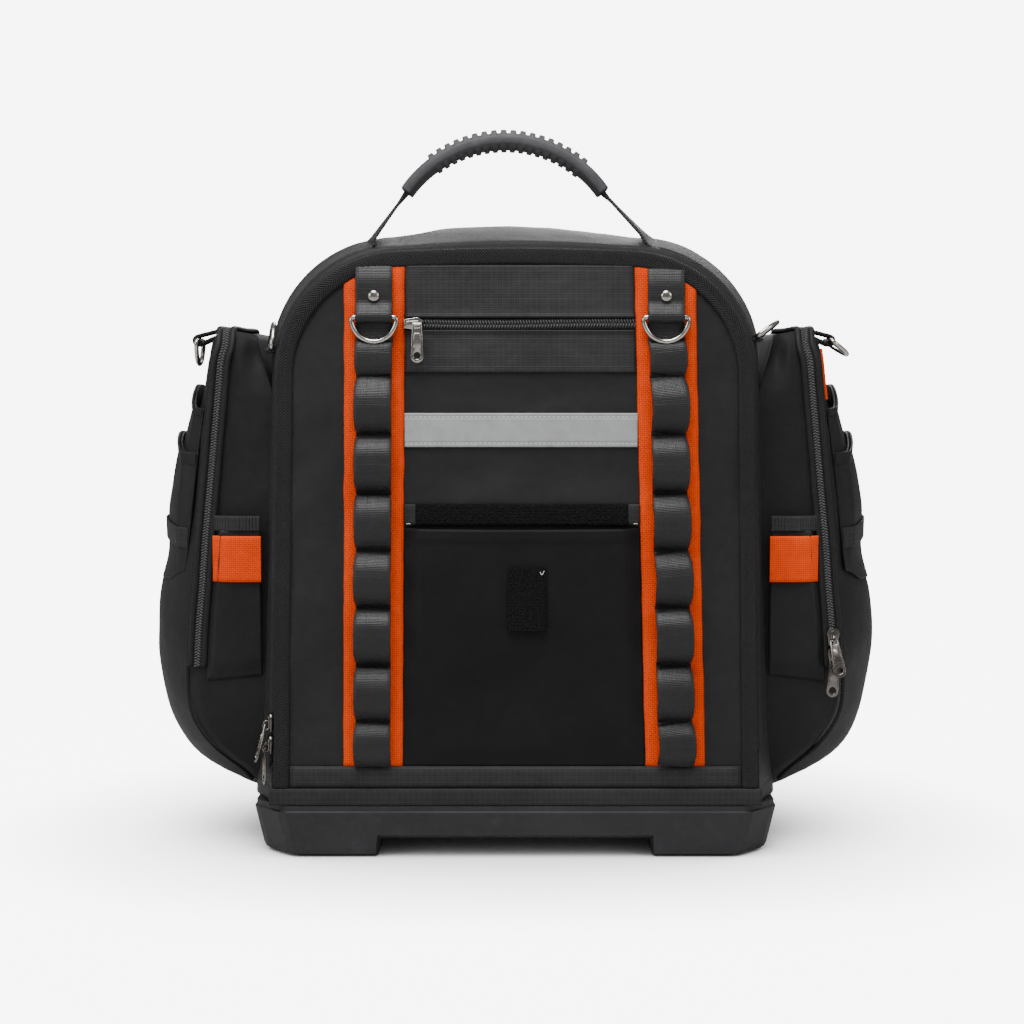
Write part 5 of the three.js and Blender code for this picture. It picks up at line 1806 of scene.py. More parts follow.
@dataclass
class Hardware:
    """D-rings, zip sliders and pulls."""

    body: Body
    ring_half: float = 15.8
    ring_drop: float = 16.9
    wire: float = 3.5

    def hung(self, node: str) -> tuple[Vector, Vector, Vector]:
        """Where a hinged piece hangs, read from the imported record.

        Args:
            node: The CAD node.

        Returns:
            Its pivot in millimetres, its bar's direction and the way it hangs.
        """
        pivot, bar = hinge_of(node)
        mesh = frame["nodes"][node].data
        middle = sum((v.co for v in mesh.vertices), Vector()) / len(mesh.vertices)
        hang = (middle - DRAWING_SHIFT) / METRE - pivot
        return pivot, bar, (hang - bar * hang.dot(bar)).normalized()

    def build(self) -> None:
        """Makes every ring, slider and pull."""
        for node in frame["nodes"]:
            if node.startswith("d_ring"):
                self.build_ring(node)
            elif node.endswith("_pull"):
                self.build_pull(node)
            elif node.endswith("_slider"):
                self.build_slider(node)

    @staticmethod
    def metal_of(node: str) -> Plated:
        """The front zip's metal is brighter than that of the others."""
        return LIGHT_GUNMETAL if node.startswith("front") else GUNMETAL

    def build_ring(self, node: str) -> None:
        """A D-ring bent from round wire, its ends welded in the middle of its bar.

        Args:
            node: The CAD node.
        """
        pivot, bar, hang = self.hung(node)
        half, drop = self.ring_half, self.ring_drop
        line = [(half * s, 0.0) for s in (-0.8, -0.4, 0.0, 0.4, 0.8)]
        line.append((half - 0.7, -0.9))
        line += [
            (half * math.cos(a), -drop * math.sin(a))
            for a in [0.22 + i * (math.pi - 0.44) / 12 for i in range(13)]
        ]
        line.append((-half + 0.7, -0.9))
        out = bar.cross(hang)
        points = [pivot + bar * x - hang * z for x, z in line]
        route = Route(points, [out] * len(points), 96, closed=True)
        made = swept(f"{node}_wire", route, round_section(self.wire / 2, 14))
        deliver(made, NICKEL, node, body=f"{node}_body")

    def build_pull(self, node: str) -> None:
        """A tapered pull with a round end, a raised rim and an eye, on its pin.

        Args:
            node: The CAD node.
        """
        pivot, bar, hang = self.hung(node)
        out = hang.cross(bar)
        top, bottom, length, thick = 6.4, 8.8, 27.0, 1.4
        low = -length + bottom / 2
        outline = [(-top / 2, 0.6), (-bottom / 2, low)]
        for angle in [i * math.pi / 10 for i in range(1, 10)]:
            outline.append((-bottom / 2 * math.cos(angle), low - bottom / 2 * math.sin(angle)))
        outline += [(bottom / 2, low), (top / 2, 0.6)]
        outline += [(1.85, 0.6), (1.85, -2.9), (-1.85, -2.9), (-1.85, 0.6)]
        place = basis(pivot, bar, out, -hang)
        plate = self.plate(f"{node}_plate", outline, thick, (0.0, low + 0.6, 2.5), place)
        pin_route = Route([pivot - bar * 3.1, pivot, pivot + bar * 3.1], [out] * 3, 6)
        pin = swept("pin", pin_route, round_section(0.9, 10))
        rim = [(-2.1, -6.5), (-2.9, low + 6), (2.9, low + 6), (2.1, -6.5)]
        ridge = self.plate("rim", rim, thick + 0.9, None, place)
        made = joined(f"{node}_tab", [plate, pin, ridge])
        soften(made, 0.28)
        deliver(made, self.metal_of(node), node, body=f"{node}_body")

    def plate(
        self, name: str, outline: Sequence[Pair], thick: float, hole: tuple[float, float, float] | None,
        place: Matrix,
    ) -> Piece:
        """A flat plate cut to an outline, with a round hole where one is named.

        Args:
            name: The piece's name.
            outline: Its corners as (x, z).
            thick: Its thickness along y.
            hole: The hole's x, z and radius, or none.
            place: Where it goes, in millimetres.

        Returns:
            The plate.
        """
        shape = bmesh.new()
        rim = [shape.verts.new((x, -thick / 2, z)) for x, z in outline]
        edges = [shape.edges.new((a, b)) for a, b in zip(rim, rim[1:] + rim[:1])]
        if hole:
            x, z, radius = hole
            turn = Matrix.Translation((x, -thick / 2, z)) @ Matrix.Rotation(math.pi / 2, 4, "X")
            ring = bmesh.ops.create_circle(shape, segments=20, radius=radius, matrix=turn)
            edges += list({edge for vert in ring["verts"] for edge in vert.link_edges})
        bmesh.ops.triangle_fill(shape, use_beauty=True, use_dissolve=False, edges=edges)
        raised = bmesh.ops.extrude_face_region(shape, geom=shape.faces[:])
        for item in raised["geom"]:
            if isinstance(item, bmesh.types.BMVert):
                item.co.y += thick
        bmesh.ops.recalc_face_normals(shape, faces=shape.faces)
        bmesh.ops.dissolve_limit(shape, angle_limit=0.01, verts=shape.verts, edges=shape.edges)
        for vert in shape.verts:
            vert.co = to_frame(place @ vert.co)
        return object_from(name, shape, smooth=False)

    def build_slider(self, node: str) -> None:
        """A slider: shouldered top plate with a crown ridge and the lug that carries the pull.

        Args:
            node: The CAD node.
        """
        pull = node.replace("_slider", "_pull")
        pivot, bar, _ = self.hung(pull)
        facing, along, lug_at = self.seat_of(node, pivot)
        across = facing.cross(along)
        seat = pivot - along * lug_at - facing * 6.0
        near = [(-6.2, -3.2), (-2.0, -3.7), (2.4, -4.5), (4.6, -4.0), (6.2, -2.5)]
        outline = near + [(x, -z) for x, z in reversed(near)]
        place = basis(seat + facing * 1.5, along, -facing, across)
        wing = self.plate("wing", outline, 2.2, None, place)
        crown = [(-4.6, -1.7), (3.8, -2.3), (5.0, 0.0), (3.8, 2.3), (-4.6, 1.7)]
        ridge = self.plate("crown", crown, 1.4, None, basis(seat + facing * 3.0, along, -facing, across))
        arch = []
        for a in [i * math.pi / 8 for i in range(9)]:
            arch.append(pivot + along * (3.6 * math.cos(a)) * 0.85 + facing * (2.0 * math.sin(a) - 1.2))
        feet = [arch[0] - facing * 2.0, *arch, arch[-1] - facing * 2.0]
        lug = swept("lug", Route(feet, [bar.cross(along)] * len(feet), 30), flat_section(2.0, 1.6, 3))
        made = joined(f"{node}_body", [wing, ridge, lug])
        soften(made, 0.3)
        deliver(made, self.metal_of(node), node)

    def seat_of(self, node: str, pivot: Vector) -> tuple[Vector, Vector, float]:
        """The way a slider faces, the way it runs, and how far along it its lug stands.

        Args:
            node: The slider's CAD node.
            pivot: Its pull's pivot.

        Returns:
            Both ways, and the length.
        """
        if node.startswith("front"):
            return -Y, X, 3.0
        if node.startswith("side_zip_right"):
            return -Y, Z, -2.0
        if node.startswith("side_zip_left"):
            return Y, Z, -2.0
        front, back = self.body.zip_front, self.body.zip_back
        widening = self.body.half_at(back, pivot.z) - self.body.half_at(front, pivot.z)
        return Vector((front - back, -widening, 0.0)).normalized(), Z, -2.0


# Handle


@dataclass
class Handle:
    """The webbing over the shoulders and the ribbed grip round its middle."""

    body: Body
    depth: float = 28.0
    width: float = 25.0
    cloth: float = 2.2
    leaves: Pair = (77.0, 82.0)
    ends_z: Pair = (363.0, 371.0)
    grip_x: float = -7.5
    apex: float = 506.0
    radius: float = 85.0
    sweep: float = 54.5
    ribs: int = 18
    ribbed: Pair = (0.16, 0.87)

    @property
    def y(self) -> float:
        """The handle's depth on the drawing."""
        return self.body.front + self.depth

    @property
    def hub(self) -> Vector:
        """The middle of the grip's arc."""
        return Vector((self.grip_x, self.y, self.apex - self.radius))

    def shoulder(self, side: int, degrees: float, lift: float) -> Vector:
        """A point of the body's shoulder, 0 at its side and 90 on top.

        Args:
            side: -1 for the left and 1 for the right.
            degrees: How far round.
            lift: How far off the cloth.

        Returns:
            The place in millimetres.
        """
        arch = self.body.arch(self.y)
        angle = math.radians(degrees)
        reach = arch.radius + lift
        x = arch.shoulder - arch.radius + reach * math.cos(angle)
        return Vector((side * x, self.y, arch.top - arch.radius + reach * math.sin(angle)))

    def out_at(self, side: int, degrees: float) -> Vector:
        """The way out of the shoulder's cloth, tipped forwards as the body rolls in.

        Args:
            side: -1 for the left and 1 for the right.
            degrees: How far round the shoulder.

        Returns:
            The way out.
        """
        angle = math.radians(degrees)
        ahead = self.body.arch(self.y - 10)
        behind = self.body.arch(self.y + 10)
        aside = (behind.shoulder - ahead.shoulder) * math.cos(angle)
        tip = aside + (behind.top - ahead.top) * math.sin(angle)
        return Vector((side * math.cos(angle), -tip / 20, math.sin(angle))).normalized()

    def grip_point(self, degrees: float, out: float = 0.0) -> Vector:
        """A point of the grip's arc, 0 at its apex and positive to the right.

        Args:
            degrees: How far round.
            out: How far outside the arc.

        Returns:
            The place in millimetres.
        """
        angle = math.radians(degrees)
        reach = self.radius + out
        x = self.grip_x + reach * math.sin(angle)
        return Vector((x, self.y, self.apex - self.radius + reach * math.cos(angle)))

    def run(self, side: int) -> tuple[list[Vector], list[Vector]]:
        """The strap's run on one shoulder and up to the grip.

        Args:
            side: -1 for the left and 1 for the right.

        Returns:
            Its points and the way out at each, from its low end.
        """
        index = 0 if side < 0 else 1
        arch = self.body.arch(self.y)
        low = math.degrees(math.asin((self.ends_z[index] - arch.top + arch.radius) / arch.radius))
        points, outs = [], []
        for i in range(13):
            degrees = mix(low, self.leaves[index], i / 12)
            points.append(self.shoulder(side, degrees, self.cloth / 2 + 0.4))
            outs.append(self.out_at(side, degrees))
        foot, end = points[-1], self.grip_point(side * self.sweep)
        bow = -3.0 if side > 0 else 1.5
        for share, push in ((0.16, 0.8), (0.5, 1.0), (0.8, 0.45)):
            spot = foot.lerp(end, share) + Vector((side * bow * push, 0, -bow * push))
            points.append(spot)
            outs.append(Vector((side * 0.85, mix(-0.2, -0.06, share), 0.5)).normalized())
        return points, outs

    def build(self) -> None:
        """Makes the strap and the grip."""
        left, left_outs = self.run(-1)
        right, right_outs = self.run(1)
        arc = [self.grip_point(mix(-self.sweep, self.sweep, i / 12)) for i in range(13)]
        arc_outs = [(p - self.hub).normalized() for p in arc]
        points = left + arc + right[::-1]
        outs = left_outs + arc_outs + right_outs[::-1]
        head, tail = self.ring_eye(-1), self.ring_eye(1)
        points = head[0] + points + tail[0][::-1]
        outs = head[1] + outs + tail[1][::-1]
        section = flat_section(self.width, self.cloth, 8, 0.25)
        strap = swept("handle_strap_web", Route(points, outs, 720), section)
        deliver(strap, STRAP, "handle_strap")
        self.build_grip()

    def ring_eye(self, side: int) -> tuple[list[Vector], list[Vector]]:
        """The fold of the strap's end round its D-ring.

        Args:
            side: -1 for the left and 1 for the right.

        Returns:
            Its points and the way out at each, end first.
        """
        pivot, bar = hinge_of(f"d_ring_side_{Side(side).label}")
        out = Vector((bar.y, -bar.x, 0)).normalized()
        out = out if out.x * side > 0 else -out
        radius = 2.85
        points, outs = [], []
        for angle in (200, 235, 270, 305, 335):
            turn = math.radians(angle)
            ray = out * -math.cos(turn) + Z * math.sin(turn)
            points.append(pivot + ray * radius)
            outs.append(ray)
        return points, outs

    def build_grip(self) -> None:
        """The rubber grip, ribbed across its outer face, with square collars at its ends."""
        steps = 480
        section = squared_section(36, 15.0, 4.3, (0.5, 0.5))
        points = [self.grip_point(mix(-self.sweep, self.sweep, i / 24)) for i in range(25)]
        route = Route(points, [(p - self.hub).normalized() for p in points], steps)
        start, stop = self.ribbed

        def rib(share: float) -> float:
            """How far a rib stands up, from 0 to 1.

            Args:
                share: The share along the grip.

            Returns:
                The share of its full height.
            """
            if not start < share < stop:
                return 0.0
            phase = (share - start) / (stop - start) * self.ribs
            return ease((abs(math.sin(math.pi * phase)) - 0.45) / 0.25)

        sides = len(section)

        def point(u: float, v: float) -> Vector:
            """Lays the section out along the arc with its ribs and square ends.

            Args:
                u: The share across it or round it.
                v: The share along it or up it.

            Returns:
                The place in millimetres.
            """
            across, out = section[round(u * sides) % sides]
            face = ease((abs(out) - 3.0) / 1.2) * math.copysign(1.0, out)
            raised = rib(v) * (2.2 if out > 0 else 1.5)
            end = 1.0 - 0.12 * ease((0.005 - min(v, 1 - v)) / 0.005)
            swell = 0.5 + 0.5 * math.sin(math.pi * v)
            return route.place(round(v * route.steps), across * end, (out + face * (raised + swell)) * end)

        def cloth(u: float, v: float) -> Pair:
            """Runs along the grip."""
            return section[round(u * sides) % sides][0], v * route.length

        made = Grid("handle_grip_ribbed", sides, steps, point, cloth, ring=True, capped=True).build()
        deliver(made, GRIP_RUBBER, "handle_grip")


# Side pockets


@dataclass
class Pocket:
    """One flank's pocket with its zip, stash pocket, outer pocket and ring tab."""

    body: Body
    side: Side
    bottom: float = 42.0
    top: float = 376.0
    reach: float = 80.0
    front: float = -72.0
    depth: float = 140.0
    round: float = 13.0
    slope: float = 0.19
    rows: Rows = (
        (0.0, 0.26, 0.02, 0.15, 0.0), (0.023, 0.5, 0.08, 0.095, 0.0), (0.057, 0.69, 0.23, 0.05, 0.0),
        (0.103, 0.82, 0.43, 0.02, 0.0), (0.171, 0.92, 0.59, 0.0, 0.0), (0.262, 0.985, 0.62, 0.0, 0.0),
        (0.352, 1.0, 0.6, 0.0, 0.0), (0.442, 0.95, 0.565, 0.0, 0.0), (0.52, 0.84, 0.54, 0.0, 0.0),
        (0.7, 0.705, 0.465, 0.0, 0.05), (0.87, 0.51, 0.395, 0.0, 0.35), (0.965, 0.43, 0.35, 0.02, 0.85),
        (1.0, 0.37, 0.29, 0.055, 1.0),
    )
    zip_inset: float = 9.5
    zip_end: float = 133.0
    elastic_z: Pair = (231.3, 242.3)
    tab_top: float = 228.0
    sleeve_foot: float = 192.0
    sleeve_edge: float = 20.0

    @property
    def back(self) -> float:
        """The pocket's back face."""
        return self.front + self.depth

    def x_of(self, share: float) -> float:
        """A share of the reach as a distance from the middle."""
        return self.body.widest.half + share * self.reach

    def corner_x(self, z: float) -> float:
        """The pocket's front corner at a height."""
        return self.x_of(smooth_rows(self.rows, (z - self.bottom) / (self.top - self.bottom))[1])

    def inner_x(self, y: float, z: float) -> float:
        """Where the pocket meets the body, or leans away from its shoulder."""
        flank = self.body.half_at(y, z) - 1.5
        return max(flank, 182.5 + (z - 369) * math.tan(math.radians(15)) + 0.3)

    def fold(self, point: Vector, amount: float = 1.0) -> float:
        """How far the cloth swells out of its plain form."""
        seed = 11.0 if self.side is Side.LEFT else 23.0
        return amount * (ripple(point, 66, seed) * 2.2 + ripple(point, 27, seed + 3) * 0.8)

    def ring_point(self, u: float, up: float, grow: float = 0.0) -> Vector:
        """A point of the pocket's outline at a share of its height, drawn for the right side.

        Args:
            u: From 0 at the body in front, round the outside, to 1 at the front again.
            up: The share of its height.
            grow: How far outside the form.

        Returns:
            The place in millimetres.
        """
        out, corner, tuck, lean = smooth_rows(self.rows, up)
        z = mix(self.bottom, self.top, up)
        y0, y1 = self.front + tuck * self.depth - grow, self.back - tuck * self.depth + grow
        edge, bulge = self.x_of(corner) + grow, self.x_of(out) + grow
        inner_front, inner_back = self.inner_x(y0, z), self.inner_x(y1, z)
        radius = min(self.round, (edge - inner_front) * 0.8)
        stops = (0.2, 0.3, 0.6, 0.7, 0.9, 1.0)
        if u <= stops[0]:
            x, y = mix(inner_front, edge - radius, u / stops[0]), y0
        elif u <= stops[1]:
            turn = (u - stops[0]) / (stops[1] - stops[0]) * math.pi / 2
            x, y = edge - radius + radius * math.sin(turn), y0 + radius * (1 - math.cos(turn))
        elif u <= stops[2]:
            share = (u - stops[1]) / (stops[2] - stops[1])
            bow = 1 - (2 * share - 1) ** 2
            x, y = edge + (bulge - edge) * bow, mix(y0 + radius, y1 - radius, share)
        elif u <= stops[3]:
            turn = (u - stops[2]) / (stops[3] - stops[2]) * math.pi / 2
            x, y = edge - radius + radius * math.cos(turn), y1 - radius * (1 - math.sin(turn))
        elif u <= stops[4]:
            share = (u - stops[3]) / (stops[4] - stops[3])
            x, y = mix(edge - radius, inner_back, share), y1
        else:
            share = (u - stops[4]) / (stops[5] - stops[4])
            x, y = mix(inner_back, inner_front, share), mix(y1, y0, share)
        z += lean * self.slope * (x - self.x_of(self.rows[-1][2]))
        return Vector((x, y, z))

    def sided(self, point: Vector) -> Vector:
        """A point drawn for the right, on this pocket's side."""
        return Vector((point.x * self.side.value, point.y, point.z))

    def build(self) -> None:
        """Makes the pocket and all that is on it."""
        self.build_bag()
        self.build_piping()
        self.build_zip()
        self.build_stash()
        self.build_sleeve()
        self.build_ring_tab()
        if self.side is Side.RIGHT:
            self.build_orange_edge()

    def build_bag(self) -> None:
        """The pocket's own cloth."""
        cap = [0.0, 0.35, 0.65, 0.85, 0.95]
        wall = [i / 64 for i in range(65)]
        lid = [0.97, 0.93, 0.84, 0.66, 0.4, 0.0]
        rows = len(cap) + len(wall) + len(lid) - 1
        left = self.side is Side.LEFT

        def point(u: float, v: float) -> Vector:
            """Lays out the base, the wall and the lid, row by row.

            Args:
                u: The share across it or round it.
                v: The share along it or up it.

            Returns:
                The place in millimetres.
            """
            row = round(v * rows)
            if row < len(cap):
                up, keep = 0.0, cap[row]
            elif row < len(cap) + len(wall):
                up, keep = wall[row - len(cap)], 1.0
            else:
                up, keep = 1.0, lid[row - len(cap) - len(wall)]
            place = self.ring_point(u, up)
            calm = ease(up * 9) * ease((1 - up) * 14) * ease((0.9 - u) * 12) * ease(u * 9)
            on_face = 0.3 if u < 0.24 or u > 0.66 else 1.0
            grown = self.ring_point(u, up, self.fold(place, on_face) * calm - 0.4)
            grown.y += 5.0 * ease((place.z - 322) / 40) * ease((0.13 - u) / 0.09) * ease((1 - up) * 20)
            if keep < 1.0:
                middle_x = (self.ring_point(0.15, up).x + self.ring_point(0.45, up).x) / 2
                middle = Vector((middle_x, self.front + self.depth / 2, place.z))
                shrunk = middle.lerp(grown, keep)
                rise = self.slope * (shrunk.x - grown.x) if up > 0.5 else 0.0
                shrunk.z = grown.z + rise - (2.0 * math.sin(math.pi * keep) * (1 - keep) if up > 0.5 else 0.0)
                grown = shrunk
            return self.sided(grown)

        def cloth(u: float, v: float) -> Pair:
            """The threads run round and up."""
            return u * 470.0, v * 420.0

        name = f"side_pocket_{self.side.label}"
        made = Grid(f"{name}_cloth", 160, rows, point, cloth, ring=True, turned=left).build()
        deliver(made, POCKET_CLOTH, name)

    def build_piping(self) -> None:
        """The piped seams up the pocket's front and back corners."""
        for name, u in (("front", 0.262), ("back", 0.638)):
            points, outs = [], []
            for i in range(40):
                up = mix(0.015, 0.972, i / 39)
                here = self.ring_point(u, up, 0.5)
                outs.append(self.sided((self.ring_point(u, up, 4.0) - here).normalized()))
                points.append(self.sided(here))
            route = Route(points, outs, 240)
            piping = swept(f"pocket_piping_{name}_{self.side.label}", route, round_section(1.5, 8))
            deliver(piping, BINDING)

    def build_zip(self) -> None:
        """The zip up the pocket's front, over its top and down its back."""
        heights = [self.zip_end, 160, 190, 220, 250, 280, 310, 335, 352]
        front = [Vector((self.corner_x(z) - self.zip_inset, self.front - 0.7, z)) for z in heights]
        top_x = self.corner_x(368) - self.zip_inset
        dip = self.slope * (self.x_of(self.rows[-1][2]) - top_x)
        top_z = self.top - dip + 0.7
        rise = ((1.6, -12), (8.0, -1.5), (18, 0))
        over = [Vector((top_x, self.front + y, top_z + z)) for y, z in rise]
        over.append(Vector((top_x, self.front + 70, top_z - 0.4)))
        over += [Vector((top_x, self.back - y, top_z + z)) for y, z in reversed(rise)]
        back = [Vector((p.x, self.back + 0.7, p.z)) for p in reversed(front)]
        outs = [-Y] * len(front) + [Vector((0, -1, 0.3)), Vector((0, -0.7, 0.7)), Z, Z, Z]
        outs += [Vector((0, 0.7, 0.7)), Vector((0, 1, 0.3))] + [Y] * len(back)
        points = [self.sided(p) for p in front + over + back]
        route = Route(points, [o.normalized() for o in outs], 1150)
        made = zip_run(f"side_zip_{self.side.label}_coil", route, 8.6)
        deliver(made, COIL, f"side_zip_{self.side.label}")
        self.build_zip_welts(route)

    def build_zip_welts(self, route: Route) -> None:
        """The folded edges of cloth that stand along both sides of the zip.

        Args:
            route: The zip's line.
        """
        welts = []
        for index, across in enumerate((-4.9, 4.9)):
            points = [route.place(step, across, 0.2) for step in range(0, route.steps + 1, 10)]
            outs = [route.out[step] for step in range(0, route.steps + 1, 10)]
            welts.append(swept(f"welt_{index}", Route(points, outs, 260), flat_section(4.2, 2.2, 6, 0.5)))
        deliver(joined(f"side_zip_{self.side.label}_welts", welts), POCKET_CLOTH)

    def build_stash(self) -> None:
        """The small open pocket on the front, its elastic top and its orange tab."""
        low, high = 127.0, 232.0
        inner = self.body.widest.half - 7

        def right(z: float) -> float:
            """Its outer edge at a height."""
            return self.corner_x(z) - 3 - self.zip_inset - 4

        def flat(u: float, v: float) -> Vector:
            """The place on the pocket's flat front."""
            z = mix(low, high, v) - 4.0 * u * (1 - v)
            return Vector((mix(inner, right(z), u), self.front, z))

        def point(u: float, v: float) -> Vector:
            """Lifts the cloth, most at its mouth.

            Args:
                u: The share across it or round it.
                v: The share along it or up it.

            Returns:
                The place in millimetres.
            """
            place = flat(u, v)
            lifted = 3.4 + 3.2 * v + self.fold(place, 0.35)
            edge = ease((1 - u) * 7) * ease(v * 8)
            place.y -= 0.5 + lifted * edge
            return self.sided(place)

        def cloth(u: float, v: float) -> Pair:
            """The threads run across and up."""
            place = flat(u, v)
            return place.x, place.z

        label = self.side.label
        left = self.side is Side.LEFT
        made = Grid(f"stash_pocket_{label}_cloth", 30, 50, point, cloth, turned=left, wall=1.2).build()
        deliver(made, POCKET_CLOTH, f"stash_pocket_{label}")

        z = (self.elastic_z[0] + self.elastic_z[1]) / 2
        ends = [inner, inner + 12, mix(inner, right(z), 0.6), right(z) - 4, right(z) + 1]
        depths = [7.6, 7.8, 7.6, 5.6, 2.0]
        points = [self.sided(Vector((x, self.front - d, z))) for x, d in zip(ends, depths)]
        elastic = swept(
            f"stash_elastic_{label}_band", Route(points, [-Y] * 5, 120), flat_section(11.0, 1.6, 8),
            None, lambda a, s: 0.22 * math.sin(s * 2.6),
        )
        deliver(elastic, BAND, f"stash_elastic_{label}")

        z = self.tab_top - 16.5
        outer = right(z) - 0.5
        spots = ((-34.5, 8.4), (-24, 8.5), (-12, 8.0), (-5, 6.0), (0.5, 3.0))
        points = [self.sided(Vector((outer + x, self.front - d, z))) for x, d in spots]
        tab = swept(
            f"orange_tab_{label}_web", Route(points, [-Y] * 5, 60), flat_section(33.0, 1.4, 14), None,
            lambda a, s: 0.3 * ripple(Vector((s, a, 3)), 13, 1.0),
        )
        deliver(tab, ORANGE, f"orange_tab_{label}")

    def skin(self, y: float, z: float) -> float:
        """The pocket's outer face, as a distance from the middle.

        Args:
            y: The depth.
            z: The height.

        Returns:
            The distance.
        """
        out, corner, _, _ = smooth_rows(self.rows, (z - self.bottom) / (self.top - self.bottom))
        share = (y - self.front - self.round) / (self.depth - 2 * self.round)
        bow = max(1 - (2 * share - 1) ** 2, 0.0)
        edge = self.x_of(corner)
        return edge + (self.x_of(out) - edge) * bow

    def sleeve_point(self, u: float, z: float, proud: float) -> Vector:
        """A point of the outer pocket's cloth, drawn for the right side.

        Args:
            u: From its front seam to its back seam.
            z: Its height.
            proud: How far the cloth stands off the pocket between its seams.

        Returns:
            The place in millimetres.
        """
        y = mix(self.front + self.sleeve_edge, self.back - self.sleeve_edge, u)
        place = Vector((self.skin(y, z), y, z))
        free = ease(min(u, 1 - u) * 13) * ease((z - self.sleeve_foot) / 60)
        place.x += 0.7 + (proud - 0.7 + self.fold(place, 0.5)) * free
        return place

    def build_sleeve(self) -> None:
        """The outer pocket: two open-mouthed layers, a hem and a webbing band round them."""
        label = self.side.label
        self.build_layer(f"outer_pocket_{label}_rear", 318.0, 17.0, 5.8)
        front = self.build_layer(f"outer_pocket_{label}_cloth", 286.0, 14.0, 8.6)
        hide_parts(f"outer_pocket_{label}")
        bands = (
            ("hem_rear", 315.4, 17.0, 6.3, 5.5, POCKET_CLOTH),
            ("hem", 281.5, 14.0, 9.2, 9.4, POCKET_CLOTH),
            ("band", 224.0, 6.0, 9.5, 15.0, BAND),
        )
        for part, *measures, finish in bands:
            deliver(self.sleeve_band(f"outer_pocket_{label}_{part}", *measures), finish)

    def build_layer(self, name: str, rim: float, arch: float, proud: float) -> Piece:
        """One layer of the outer pocket, from its foot to its arched mouth.

        Args:
            name: The piece's name.
            rim: The height of its mouth at its seams.
            arch: How far its mouth rises between them.
            proud: How far it stands off the pocket.

        Returns:
            The layer.
        """

        def height(u: float, v: float) -> float:
            """The height of a point of the layer.

            Args:
                u: The share across it or round it.
                v: The share along it or up it.

            Returns:
                The height.
            """
            side = min(u, 1 - u)
            foot = self.sleeve_foot + 8.0 * (1 - ease(side / 0.2))
            return mix(foot, rim + arch * ease(side / 0.45), v)

        def point(u: float, v: float) -> Vector:
            """Lays out the layer."""
            return self.sided(self.sleeve_point(u, height(u, v), proud))

        def cloth(u: float, v: float) -> Pair:
            """Its threads run along and up it."""
            return u * (self.depth - 2 * self.sleeve_edge), height(u, v)

        turned = self.side is Side.LEFT
        return deliver(Grid(name, 60, 60, point, cloth, turned=turned, wall=1.4).build(), POCKET_CLOTH)

    def sleeve_band(self, name: str, z: float, arch: float, proud: float, width: float) -> Piece:
        """A band across the outer pocket, at a height, arched as the mouth above it is.

        Args:
            name: The piece's name.
            z: Its height at its seams.
            arch: How far it rises between them.
            proud: How far it stands off the pocket.
            width: Its width.

        Returns:
            The band.
        """
        points, outs = [], []
        for i in range(31):
            u = mix(0.004, 0.996, i / 30)
            height = z + arch * ease(min(u, 1 - u) / 0.45)
            points.append(self.sided(self.sleeve_point(u, height, proud) + X * 0.3))
            outs.append(self.sided(X.copy()))
        return swept(name, Route(points, outs, 200), flat_section(width, 1.6, 10))

    def build_ring_tab(self) -> None:
        """The twill tab that holds the pocket's D-ring."""
        label = self.side.label
        pivot, _ = hinge_of(f"d_ring_pocket_{label}")
        sign = self.side.value
        lean = math.radians(14)
        arm = Vector((-sign * math.cos(lean), 0, math.sin(lean)))
        face = Vector((sign * math.sin(lean), 0, math.cos(lean)))
        radius = 3.1
        points = [pivot + arm * s + face * (radius + 0.2) for s in (17, 11, 6, 2)]
        outs = [face.copy() for _ in points]
        for degrees in (20, 60, 100, 140, 175):
            turn = math.radians(degrees)
            ray = face * math.cos(turn) - arm * math.sin(turn)
            points.append(pivot + ray * radius)
            outs.append(ray)
        for reach, under in ((6, 2.0), (11, 1.0), (16.5, 0.2)):
            points.append(pivot + arm * reach - face * under)
            outs.append(-face)
        route = Route(points, outs, 90)
        name = f"pocket_ring_tab_{label}"
        deliver(swept(f"{name}_twill", route, flat_section(16.0, 2.6, 6)), BINDING, name)

    def build_orange_edge(self) -> None:
        """The orange edge that shows between the right pocket's zip and its outer pocket."""
        points, outs = [], []
        for i in range(9):
            up = (mix(324.0, 360.0, i / 8) - self.bottom) / (self.top - self.bottom)
            here = self.ring_point(0.31, up, 1.2)
            outs.append((self.ring_point(0.31, up, 4.0) - here).normalized())
            points.append(here)
        edge = swept("orange_edge_right", Route(points, outs, 60), flat_section(2.6, 1.0, 4))
        deliver(edge, ORANGE)


# Back


